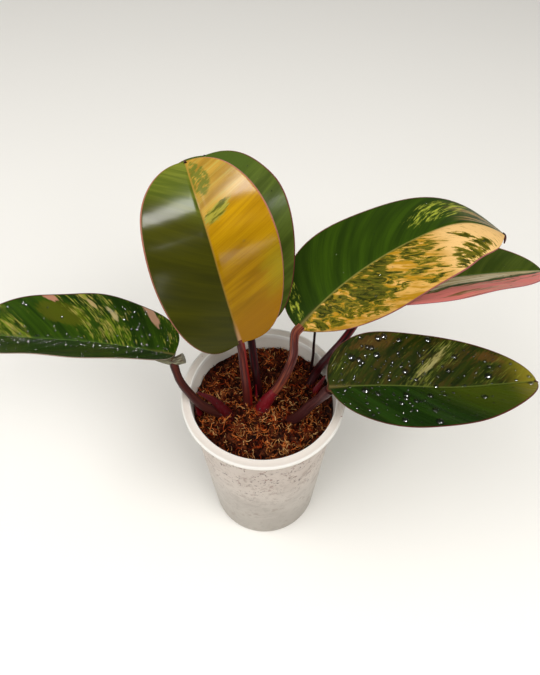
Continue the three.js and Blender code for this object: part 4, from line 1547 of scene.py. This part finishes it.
def clod_heights(x, y):
    """Broken clods on the mix, mostly from -1 to 1"""
    places = (Vector((a / CLOD_SIZE, b / CLOD_SIZE, 3.0)) for a, b in zip(x, y))
    return np.array([noise.fractal(place, 0.7, 2.3, 5) for place in places])


def make_mix():
    """The bed of the growing mix, with clods as fine as its rings allow.

    It stores where the mix lies loose, for the fibres and crumbs, and how high the clods are.
    """
    # Lighter on the clods' tops and near black in the hollows between them: painted shade in the hollows
    material = mix_material("mix_bed", "080201", "2c0e06", "5e2c14", 400.0, "crest")
    radius = inner_radius(MIX_LEVEL) - GAP
    shoulder = CORNER_RADIUS + FLOOR + 2
    bottom = FLOOR + GAP
    angles = 2 * math.pi * np.arange(MIX_SIDES) / MIX_SIDES
    points = []
    loose = []
    crest = []
    for ring in range(1, MIX_RINGS + 1):
        reach = radius * ring / MIX_RINGS
        x, y = reach * np.cos(angles), reach * np.sin(angles)
        z = mix_top(x, y)
        clods = clod_heights(x, y)
        z = z + CLOD_HEIGHT * clods * min(1, (radius - reach) / CLOD_FADE + CLODS_AT_WALL)
        crest += list(0.5 + 0.5 * clods)
        points += list(zip(x, y, z))
        loose += [1.0 if ring < MIX_RINGS - 1 else 0.0] * MIX_SIDES
    below = ((inner_radius(shoulder) - GAP, shoulder), (inner_radius(0) - CORNER_RADIUS, bottom))
    for reach, height in below:
        points += [(reach * math.cos(a), reach * math.sin(a), height) for a in angles]
        loose += [0.0] * MIX_SIDES
    faces = skin(MIX_RINGS + 2, MIX_SIDES)
    centre, foot = len(points), len(points) + 1
    points += [(0, 0, points[0][2]), (0, 0, bottom)]
    loose += [1.0, 0.0]
    last = (MIX_RINGS + 1) * MIX_SIDES
    for j in range(MIX_SIDES):
        k = (j + 1) % MIX_SIDES
        faces += [(centre, k, j), (foot, last + j, last + k)]
    crest += [0.5] * (len(points) - len(crest))
    values = {"loose": np.array(loose), "crest": np.array(crest)}
    bed = mesh_object("mix_bed", points, outward(points, faces), material, values)
    return finish_piece(bed, "soil", "soil")


# Where the bed is loose, and the form of its loose pieces: the seeds for their sizes and tones, their least
# and greatest turns and sizes, and how fine their clumps, bends and crumples are

LOOSE_FROM = 0.9
FIBRE_SIZE_SEED = 3
FIBRE_TONE_SEED = 5
FIBRE_TURNS = ((-0.6, -1.0, 0.0), (0.6, 0.35, 2 * math.pi))
FIBRE_SIZES = (0.45, 1.25)
FIBRE_CLUMPS = 190.0
FIBRE_BENDS = 300.0
FIBRE_POINTS = 7
FIBRE_TAPER = 0.55
CRUMB_SIZE_SEED = 8
CRUMB_TURNS = ((0.0, 0.0, 0.0), (6.28, 6.28, 6.28))
CRUMB_SIZES = ((0.4, 0.4, 0.3), (1.9, 1.2, 1.0))
CRUMB_GRAIN = 700.0
CRUMB_CRUMPLE = 0.0016


def fibre_tree():
    """Loose curled fibres scattered over the mix"""
    graph, given, identifiers = geometry_tree(
        "Loose fibres",
        {
            "Density": "NodeSocketFloat", "Length": "NodeSocketFloat", "Radius": "NodeSocketFloat",
            "Curl": "NodeSocketFloat", "Reach": "NodeSocketFloat", "Crest": "NodeSocketFloat",
            "Thinning": "NodeSocketFloat", "Seed": "NodeSocketInt", "Material": "NodeSocketMaterial",
        },
    )
    where = graph.position()
    x, y, z = graph.parts(where)
    loose = graph.math("GREATER_THAN", graph.named("loose"), LOOSE_FROM)
    clumps = graph.rise(graph.noise(where, FIBRE_CLUMPS, 2.0, 0.6), 0.44, 0.58)
    # Each colour starts at its own height on the clods, the lighter ones higher, so the hollows stay dark:
    # painted shade
    low, high = graph.less(given["Crest"], 0.1), graph.add(given["Crest"], 0.1)
    raised = graph.rise(graph.named("crest"), low, high)
    # Fewer fibres towards the back: painted shade under the leaves
    shade_thinned = graph.less(1.0, graph.times(given["Thinning"], graph.rise(y, -0.012, 0.012)))
    density = graph.times(given["Density"], loose, clumps, raised, shade_thinned)
    spots = graph.scattered(given["Geometry"], density, given["Seed"])

    end = graph.vector(given["Length"], 0.0, 0.0)
    line = graph.node("GeometryNodeCurvePrimitiveLine", {"End": end}).outputs[0]
    line = graph.node("GeometryNodeResampleCurve", {"Curve": line, "Count": FIBRE_POINTS}).outputs[0]
    turned = graph.random_turn(given["Seed"], *FIBRE_TURNS)
    sized = graph.random_value(FIBRE_SIZE_SEED, *FIBRE_SIZES)
    strands = graph.placed(line, spots, turned, sized)
    tone = graph.random_value(FIBRE_TONE_SEED)
    strands = graph.realized(graph.stored(strands, "tone", tone, "INSTANCE"))
    strands = graph.moved(strands, graph.drift(FIBRE_BENDS, given["Curl"]))

    pull = graph.math("MINIMUM", graph.math("DIVIDE", given["Reach"], graph.length(x, y)), 1.0)
    inside = graph.vector(graph.times(x, pull), graph.times(y, pull), z)
    strands = graph.node("GeometryNodeSetPosition", {"Geometry": strands, "Position": inside}).outputs[0]
    taper = graph.less(1.0, graph.times(graph.along_curve(), FIBRE_TAPER))
    tubes = graph.tube(strands, graph.circle(3, given["Radius"]), taper)
    end_tree(graph, tubes, given["Material"])
    return graph.tree, identifiers


def crumb_tree():
    """Loose crumbs of pith and bark scattered over the mix"""
    graph, given, identifiers = geometry_tree(
        "Loose crumbs",
        {
            "Density": "NodeSocketFloat", "Radius": "NodeSocketFloat", "Seed": "NodeSocketInt",
            "Material": "NodeSocketMaterial",
        },
    )
    loose = graph.math("GREATER_THAN", graph.named("loose"), LOOSE_FROM)
    spots = graph.scattered(given["Geometry"], graph.times(given["Density"], loose), given["Seed"])
    ball = {"Radius": given["Radius"], "Subdivisions": 1}
    crumb = graph.node("GeometryNodeMeshIcoSphere", ball).outputs[0]
    turned = graph.random_turn(given["Seed"], *CRUMB_TURNS)
    sized = graph.random_vector(CRUMB_SIZE_SEED, *CRUMB_SIZES)
    crumbs = graph.realized(graph.placed(crumb, spots, turned, sized))
    crumbs = graph.moved(crumbs, graph.drift(CRUMB_GRAIN, CRUMB_CRUMPLE))
    end_tree(graph, crumbs, given["Material"])
    return graph.tree, identifiers


def make_loose_mix(bed, mix):
    """The loose fibres in their three colours, and the crumbs"""
    fibres = fibre_tree()
    for i, (name, look) in enumerate(FIBRES.items()):
        values = {
            "Density": mix.fibre_density * look["share"], "Length": mix.fibre_length,
            "Radius": mix.fibre_radius, "Curl": look["curl"], "Crest": look["crest"],
            "Thinning": look["thinning"], "Reach": (inner_radius(MIX_LEVEL) - 1.0) * MM,
            "Seed": mix.seed + i, "Material": mix_material(name, *look["shades"], 300.0, "tone"),
        }
        finish_piece(grown(name, bed, fibres, values), "soil")
    values = {
        "Density": CRUMB_DENSITY, "Radius": mix.crumb_size, "Seed": mix.seed + 9,
        "Material": mix_material("crumbs", "180604", "4a190c", "8a4c28", 500.0),
    }
    finish_piece(grown("crumbs", bed, crumb_tree(), values), "soil")


# Stalks and sheaths


def stalk_path(name):
    """The path of a leaf's stalk up to its blade, drawn on a little way into the keel"""
    stalk = STALKS[name]
    points, tangents, _, normals = walk_midrib(LEAVES[name])
    point, tangent, normal = points[0], tangents[0], normals[0]
    depth = BLADE_THICKNESS + KEEL_DEPTH_BASE
    if stalk["way"] == "beneath":
        seat = point + normal * (KEEL_REACH - depth) + tangent
        return [*stalk["path"], tuple(seat)]
    end = point - normal * depth / 2
    return [*stalk["path"], tuple(end - tangent * 3), tuple(end + tangent * 2)]


def drip_path(name):
    """The path of a leaf's drip tip, from inside the blade's end outwards and down"""
    ahead, down = DRIP_TIPS[name]
    points, tangents, _, normals = walk_midrib(LEAVES[name])
    point, tangent, normal = points[-1], tangents[-1], normals[-1]
    start = point - tangent * DRIP_TIP_START - normal * 0.5
    length = ahead + DRIP_TIP_START
    steps = [(0, 0), (DRIP_TIP_START / length, 0.02), (0.8, 0.35), (1.0, 1.0)]
    return [tuple(start + tangent * length * a - np.array([0, 0, down]) * b) for a, b in steps]


def tube_tree():
    """A stalk along a line of edges, from its foot radius to its top radius"""
    graph, given, identifiers = geometry_tree(
        "Stalk",
        {
            "Foot Radius": "NodeSocketFloat", "Top Radius": "NodeSocketFloat", "Ridges": "NodeSocketFloat",
            "Swelling": "NodeSocketFloat", "Sides": "NodeSocketInt", "Material": "NodeSocketMaterial",
        },
    )
    foot = given["Foot Radius"]
    line = graph.node("GeometryNodeMeshToCurve", {"Mesh": given["Geometry"]}).outputs[0]
    share = graph.along_curve()
    line = graph.stored(line, "along", share)
    radius = graph.add(foot, graph.times(graph.less(given["Top Radius"], foot), share))
    radius = graph.add(radius, graph.times(given["Swelling"], graph.rise(share, *SWELLING_PLACE)))
    outline = graph.stored(graph.circle(given["Sides"], 1.0), "around", share)
    tube = graph.tube(line, outline, radius)
    stretched = graph.node("ShaderNodeVectorMath", operation="MULTIPLY")
    graph.feed(stretched.inputs[0], graph.position())
    graph.feed(stretched.inputs[1], (700, 700, 90))
    uneven = graph.less(graph.noise(stretched.outputs[0], 1.0, 1.0), 0.5)
    normal = graph.node("GeometryNodeInputNormal").outputs[0]
    tube = graph.moved(tube, graph.scaled(normal, graph.times(uneven, given["Ridges"], 2.0)))
    end_tree(graph, tube, given["Material"])
    return graph.tree, identifiers


def make_tube(name, form, material, grower, stalk, swelling=0.0):
    """A round stalk along the form's path, from the radius at its foot to the one at its top"""
    points = curve_points(form["path"], stalk.steps)
    mesh = bpy.data.meshes.new(name + "_line")
    mesh.from_pydata([tuple(p * MM) for p in points], [(i, i + 1) for i in range(len(points) - 1)], [])
    line = bpy.data.objects.new(name + "_line", mesh)
    bpy.context.scene.collection.objects.link(line)
    values = {
        "Foot Radius": form["foot"] * MM, "Top Radius": form["top"] * MM, "Ridges": stalk.roughness,
        "Swelling": swelling * MM, "Sides": stalk.sides, "Material": material,
    }
    made = grown(name, line, grower, values)
    bpy.data.objects.remove(line)
    return made


# The skin of each stalk: its name and its middle and light shade, the light one a painted highlight towards
# the top, with a painted red highlight on the right side, or a dark side other than the settings', where it
# has one. Stalks c and e are painted near black and dim, as painted shade.

PAINTED_SHADE_BLACK = (0.012, 0.003, 0.004, 1.0)
STALK_SKINS = {
    "a": dict(name="stalk_brown", mid="34140e", light="5c2a20"),
    # Stalk b has a painted red highlight on its right side
    "b": dict(name="stalk_rose", mid="4c1614", light="7d4234", painted_side_highlight="8a120e"),
    # Stalks c and e: near black and dim, painted shade
    "c": dict(name="stalk_black", dark=PAINTED_SHADE_BLACK, mid="2c0a0e", light="4a1016"),
    "d": dict(name="stalk_pink", mid="6e2e20", light="ae6846"),
    "e": dict(name="stalk_dusk", dark=PAINTED_SHADE_BLACK, mid="3c0f14", light="7a1a26"),
    "f": dict(name="stalk_umber", mid="361415", light="58302c"),
}


def make_stalks(settings):
    """The six stalks, the new shoot, the knee, the drip tips and the dry stalk"""
    grower = tube_tree()
    colours = settings.colours
    for name, form in STALKS.items():
        look = {"dark": (*colours.stalk, 1.0), **STALK_SKINS[name]}
        route = dict(form, path=stalk_path(name))
        tube = make_tube(
            f"stalk_{name}", route, stalk_material(**look), grower, settings.stalk, SWELLINGS[name]
        )
        finish_piece(tube, "stalk", f"petiole_{name}")
    skin_of_shoot = sheath_material("shoot_skin", colours.sheath)
    finish_piece(make_tube("spike", SHOOT, skin_of_shoot, grower, settings.stalk), "sheath", "shoot")
    skin_of_knee = stalk_material("knee_skin", tint("54483a"), "7c7a60", "94907a")
    finish_piece(make_tube("knee", KNEE, skin_of_knee, grower, settings.stalk), "stalk")
    skin_of_tips = sheath_material("tip_skin", (0.08, 0.012, 0.012))
    foot, top = DRIP_TIP_RADII
    for name in DRIP_TIPS:
        form = dict(path=drip_path(name), foot=foot, top=top)
        finish_piece(make_tube(f"tip_{name}", form, skin_of_tips, grower, settings.stalk), "stalk")
    dry_skin = stalk_material("dry_skin", (0.010, 0.004, 0.005, 1.0), "2a1214", "3c2020")
    old = make_tube("dry_stem", DRY_STALK, dry_skin, grower, settings.stalk)
    finish_piece(old, "dry", "dry_stalk")


def sheath_ring(sheath, share):
    """One ring round a sheath's wall, as radii and angles: outer side, far edge, inner side, near edge"""
    taper = 1 - SHEATH_NARROWING * share * share
    closed = share ** sheath.get("closing", SHEATH_CLOSING)
    half = math.radians(between(sheath["spread"], SHEATH_TIP_SPREAD, closed))
    angles = math.pi / 2 - half + 2 * half * np.arange(SHEATH_SIDES + 1) / SHEATH_SIDES
    middle = (sheath["radius"] + sheath["wall"] / 2) * taper
    thick = sheath["wall"] * taper / 2
    bends = [(middle + thick * math.cos(b), thick * math.sin(b) / middle) for b in SHEATH_EDGE_ANGLES]
    return [
        *[(middle + thick, angle) for angle in angles],
        *[(radius, angles[-1] + beyond) for radius, beyond in bends],
        *[(middle - thick, angle) for angle in angles[::-1]],
        *[(radius, angles[0] - beyond) for radius, beyond in bends[::-1]],
    ]


def make_sheath(name, sheath, material):
    """An open channel drawn out to a point, with rounded edges.

    It stores how far up a point lies, and where drops may lie: on its outer side, away from both ends.
    """
    line = curve_points(sheath["path"], SHEATH_STEPS + 1)
    tangents = np.gradient(line, axis=0)
    tangents /= np.linalg.norm(tangents, axis=1)[:, None]
    face = unit(np.array(sheath["facing"], float))
    points = []
    for i, (centre, tangent) in enumerate(zip(line, tangents)):
        across = unit(np.cross(tangent, face))
        out = np.cross(across, tangent)
        ring = sheath_ring(sheath, i / SHEATH_STEPS)
        points += [centre + across * r * math.cos(a) + out * r * math.sin(a) for r, a in ring]
    count = len(points) // (SHEATH_STEPS + 1)
    faces = skin(SHEATH_STEPS + 1, count)
    faces.append(tuple(reversed(range(count))))
    faces.append(tuple(SHEATH_STEPS * count + j for j in range(count)))
    along = np.repeat(np.arange(SHEATH_STEPS + 1) / SHEATH_STEPS, count)
    wet = np.tile(np.arange(count) <= SHEATH_SIDES, SHEATH_STEPS + 1) * (along > 0.12) * (along < 0.9)
    values = {"along": along, "wet": wet}
    piece = mesh_object(name + "_skin", points, outward(points, faces), material, values)
    return finish_piece(piece, "sheath", name)


# Water

# The drops of each piece: the piece, its slot, drops per square metre, their smallest and largest radius in
# millimetres, and how much rarer the large ones are

DROPS = {
    "a_fine": dict(on="blade_a", slot="leaf_green", density=120000.0, radii=(0.5, 1.0), skew=2.0),
    "b_few": dict(on="blade_b", slot="leaf_gold", density=90000.0, radii=(0.3, 0.9), skew=3.0),
    "c_few": dict(on="blade_c", slot="leaf_green", density=26000.0, radii=(0.4, 1.1), skew=3.0),
    "d_few": dict(on="blade_d", slot="leaf_marbled", density=30000.0, radii=(0.3, 0.9), skew=4.0),
    "e_few": dict(on="blade_e", slot="leaf_pink", density=20000.0, radii=(0.3, 0.7), skew=3.0),
    "f_fine": dict(on="blade_f", slot="leaf_dark", density=48000.0, radii=(0.4, 1.0), skew=2.5),
    "f_large": dict(on="blade_f", slot="leaf_dark", density=15000.0, radii=(1.0, 2.5), skew=1.4),
    "sheath_a": dict(on="sheath_a_skin", slot="sheath", density=70000.0, radii=(0.3, 0.7), skew=2.0),
    "sheath_d": dict(on="sheath_d_skin", slot="sheath", density=60000.0, radii=(0.3, 0.8), skew=2.0),
}
DROP_SPACING = 2.2
DROP_SEGMENTS = 10
DROP_RINGS = 6
DROP_FLATNESS = 0.6


def drop_tree():
    """Drops on the wet places of a piece, most of them small"""
    graph, given, identifiers = geometry_tree(
        "Water drops",
        {
            "Density": "NodeSocketFloat", "Smallest": "NodeSocketFloat", "Largest": "NodeSocketFloat",
            "Skew": "NodeSocketFloat", "Seed": "NodeSocketInt", "Material": "NodeSocketMaterial",
        },
    )
    smallest = given["Smallest"]
    spots = graph.node(
        "GeometryNodeDistributePointsOnFaces",
        {
            "Mesh": given["Geometry"], "Distance Min": graph.times(smallest, DROP_SPACING),
            "Density Max": given["Density"], "Density Factor": graph.named("wet"), "Seed": given["Seed"],
        },
        distribute_method="POISSON",
    )
    skewed = graph.math("POWER", graph.random_value(given["Seed"]), given["Skew"])
    radius = graph.add(smallest, graph.times(skewed, graph.less(given["Largest"], smallest)))
    sphere = {"Radius": 1.0, "Segments": DROP_SEGMENTS, "Rings": DROP_RINGS}
    ball = graph.node("GeometryNodeMeshUVSphere", sphere).outputs[0]
    flattened = {"Geometry": ball, "Scale": (1.0, 1.0, DROP_FLATNESS)}
    flat = graph.node("GeometryNodeTransform", flattened).outputs[0]
    drops = graph.placed(flat, spots.outputs["Points"], spots.outputs["Rotation"], radius)
    end_tree(graph, drops, given["Material"])
    return graph.tree, identifiers


def make_drops(settings):
    """The drops on every wet piece. They stay out of the reflections and the light that others throw."""
    grower = drop_tree()
    water = water_material()
    for i, (name, drop) in enumerate(DROPS.items()):
        smallest, largest = drop["radii"]
        values = {
            "Density": drop["density"], "Smallest": smallest * MM * settings.water.share,
            "Largest": largest * MM * settings.water.share, "Skew": drop["skew"],
            "Seed": settings.water.seed + i, "Material": water,
        }
        drops = grown(f"drops_{name}", bpy.data.objects[drop["on"]], grower, values)
        drops.visible_diffuse = False
        drops.visible_glossy = False
        finish_piece(drops, drop["slot"])


# Stage


def make_camera():
    """The camera at the place and lens that the plant was measured with"""
    data = bpy.data.cameras.new("camera")
    data.lens = CAMERA_LENS
    data.sensor_width = CAMERA_SENSOR
    data.clip_start = 0.01
    camera = bpy.data.objects.new("camera", data)
    camera.location = CAMERA_PLACE
    camera.rotation_euler = (math.radians(CAMERA_PITCH), 0, 0)
    bpy.context.scene.collection.objects.link(camera)
    bpy.context.scene.camera = camera


# Each light: direction seen from the plant as azimuth and elevation, distance, width, height, power, colour,
# and the start of the names of the pieces that it falls on, where it isn't all of them

LIGHTS = (
    ("key", -46, 52, 1.30, 0.70, 0.70, 9.8, (1.0, 0.985, 0.95), ()),
    ("side", -155, 48, 1.30, 1.30, 1.30, 12.0, (1.0, 0.985, 0.96), ()),
    ("right", 4, 50, 1.30, 1.20, 1.20, 1.0, (1.0, 0.99, 0.98), ()),
    ("wash", -140, 76, 1.60, 2.80, 2.80, 13.0, (1.0, 0.99, 0.97), ("floor",)),
    ("glare", 105, 74, 1.10, 0.20, 0.34, 9.4, (1.0, 0.99, 0.97), ("blade_b", "blade_c")),
    ("pane", -66, 52, 1.15, 0.03, 0.06, 0.34, (1.0, 0.99, 0.97), ("blade_b",)),
    ("pane_low", -74, 10, 1.15, 0.05, 0.08, 0.55, (1.0, 0.99, 0.97), ("blade_b",)),
    ("glint", -60, 62, 1.10, 1.20, 0.32, 100.0, (1.0, 0.99, 0.97), ("drops_",)),
    ("glint_left", 118, 52, 1.10, 0.70, 0.40, 70.0, (1.0, 1.0, 0.92), ("drops_a", "drops_sheath")),
)
LIGHT_TARGET = (0.0, 0.02, 0.12)
WORLD_COLOUR = (0.95, 0.93, 0.88, 1.0)
WORLD_STRENGTH = 0.18


def make_lights():
    """The lamps, all turned to the plant. The key light leaves no reflection of itself."""
    for name, azimuth, elevation, distance, width, height, power, colour, falls_on in LIGHTS:
        data = bpy.data.lights.new(name, "AREA")
        data.shape = "RECTANGLE"
        data.size = width
        data.size_y = height
        data.energy = power
        data.color = colour
        lamp = bpy.data.objects.new(name, data)
        turn, tilt = math.radians(azimuth), math.radians(elevation)
        away = Vector((math.cos(tilt) * math.cos(turn), math.cos(tilt) * math.sin(turn), math.sin(tilt)))
        lamp.location = Vector(LIGHT_TARGET) + away * distance
        lamp.rotation_euler = away.to_track_quat("Z", "Y").to_euler()
        bpy.context.scene.collection.objects.link(lamp)
        lamp.visible_glossy = name != "key"
        if falls_on:
            lit = bpy.data.collections.new(name + "_falls_on")
            for piece in bpy.data.objects:
                if piece.name.startswith(falls_on):
                    lit.objects.link(piece)
            lamp.light_linking.receiver_collection = lit


def make_world():
    """A faint warm light from all round, and plain screen colours"""
    world = bpy.data.worlds.new("studio")
    world.use_nodes = True
    back = world.node_tree.nodes["Background"]
    back.inputs["Color"].default_value = WORLD_COLOUR
    back.inputs["Strength"].default_value = WORLD_STRENGTH
    bpy.context.scene.world = world
    bpy.context.scene.view_settings.view_transform = "Standard"


FLOOR_REACH = 4000.0
FLOOR_LEVEL = -0.05


def make_floor(shade):
    """A wide flat floor just under the pot"""
    corners = ((-1, -1), (1, -1), (1, 1), (-1, 1))
    points = [(x * FLOOR_REACH, y * FLOOR_REACH, FLOOR_LEVEL) for x, y in corners]
    floor = mesh_object("floor", points, [(0, 1, 2, 3)], floor_material(shade))


# Operators


class MakePot(bpy.types.Operator):
    """Make the frosted cup pot with its drain holes"""

    bl_idname = "philodendron.pot"
    bl_label = "Pot"

    def execute(self, context):
        make_pot(context.scene.philodendron)
        return {"FINISHED"}


class MakeMix(bpy.types.Operator):
    """Make the growing mix with its loose fibres and crumbs, and give the buried stem its bark"""

    bl_idname = "philodendron.mix"
    bl_label = "Growing mix"

    def execute(self, context):
        settings = context.scene.philodendron
        make_loose_mix(make_mix(), settings.mix)
        stem = frame["nodes"]["stem"]
        stem.data.materials.clear()
        stem.data.materials.append(mix_material("stem_bark", "241408", "5a4326", "7d6440"))
        return {"FINISHED"}


class MakeStalks(bpy.types.Operator):
    """Make the leaf stalks, the new shoot, the knee, the drip tips and the dry stalk"""

    bl_idname = "philodendron.stalks"
    bl_label = "Stalks"

    def execute(self, context):
        make_stalks(context.scene.philodendron)
        return {"FINISHED"}


class MakeSheaths(bpy.types.Operator):
    """Make the crimson sheaths"""

    bl_idname = "philodendron.sheaths"
    bl_label = "Sheaths"

    def execute(self, context):
        crimson = context.scene.philodendron.colours.sheath
        bright = sheath_material("sheath_skin", crimson)
        # Sheath a gets a darker copy of the crimson: painted shade
        painted_shade_crimson = sheath_material("sheath_dusk", [0.45 * v for v in crimson])
        for name, sheath in SHEATHS.items():
            make_sheath(name, sheath, painted_shade_crimson if name == "sheath_a" else bright)
        return {"FINISHED"}


class MakeBlades(bpy.types.Operator):
    """Make the six leaf blades"""

    bl_idname = "philodendron.blades"
    bl_label = "Blades"

    def execute(self, context):
        settings = context.scene.philodendron.blade
        for name, leaf in LEAVES.items():
            look = BLADE_LOOKS[name]
            blade = make_blade(name, leaf, blade_material(name, look), settings)
            finish_piece(blade, look["slot"], f"leaf_{name}")
        return {"FINISHED"}


class MakeDrops(bpy.types.Operator):
    """Scatter water drops over the blades and two of the sheaths"""

    bl_idname = "philodendron.drops"
    bl_label = "Water drops"

    def execute(self, context):
        make_drops(context.scene.philodendron)
        return {"FINISHED"}


class MakeStage(bpy.types.Operator):
    """Set up the camera, the lights and the pale floor"""

    bl_idname = "philodendron.stage"
    bl_label = "Stage"

    def execute(self, context):
        make_camera()
        make_floor(context.scene.philodendron.colours.floor)
        make_lights()
        make_world()
        return {"FINISHED"}


OPERATORS = (MakePot, MakeMix, MakeStalks, MakeSheaths, MakeBlades, MakeDrops, MakeStage)


class PhilodendronPanel(bpy.types.Panel):
    """Lists the philodendron's steps and sizes"""

    bl_idname = "VIEW3D_PT_philodendron"
    bl_label = "Philodendron"
    bl_space_type = "VIEW_3D"
    bl_region_type = "UI"
    bl_category = "Philodendron"

    def draw(self, context):
        settings = context.scene.philodendron
        for operator in OPERATORS:
            self.layout.operator(operator.bl_idname)
        for group in (settings.blade, settings.stalk, settings.mix, settings.water, settings.colours):
            box = self.layout.box()
            for name in group.__annotations__:
                box.prop(group, name)


CLASSES = (
    BladeSettings, StalkSettings, MixSettings, WaterSettings, ColourSettings, PhilodendronSettings,
    *OPERATORS, PhilodendronPanel,
)


def register():
    """Make the classes and the settings known"""
    for item in CLASSES:
        bpy.utils.register_class(item)
    bpy.types.Scene.philodendron = PointerProperty(
        name="Philodendron", description="Sizes and colours of the philodendron", type=PhilodendronSettings
    )


def unregister():
    """Take the settings and the classes away again"""
    del bpy.types.Scene.philodendron
    for item in reversed(CLASSES):
        bpy.utils.unregister_class(item)


def main():
    """Make the whole plant and its stage"""
    register()
    for operator in OPERATORS:
        group, name = operator.bl_idname.split(".")
        getattr(getattr(bpy.ops, group), name)()


if __name__ == "__main__":
    main()
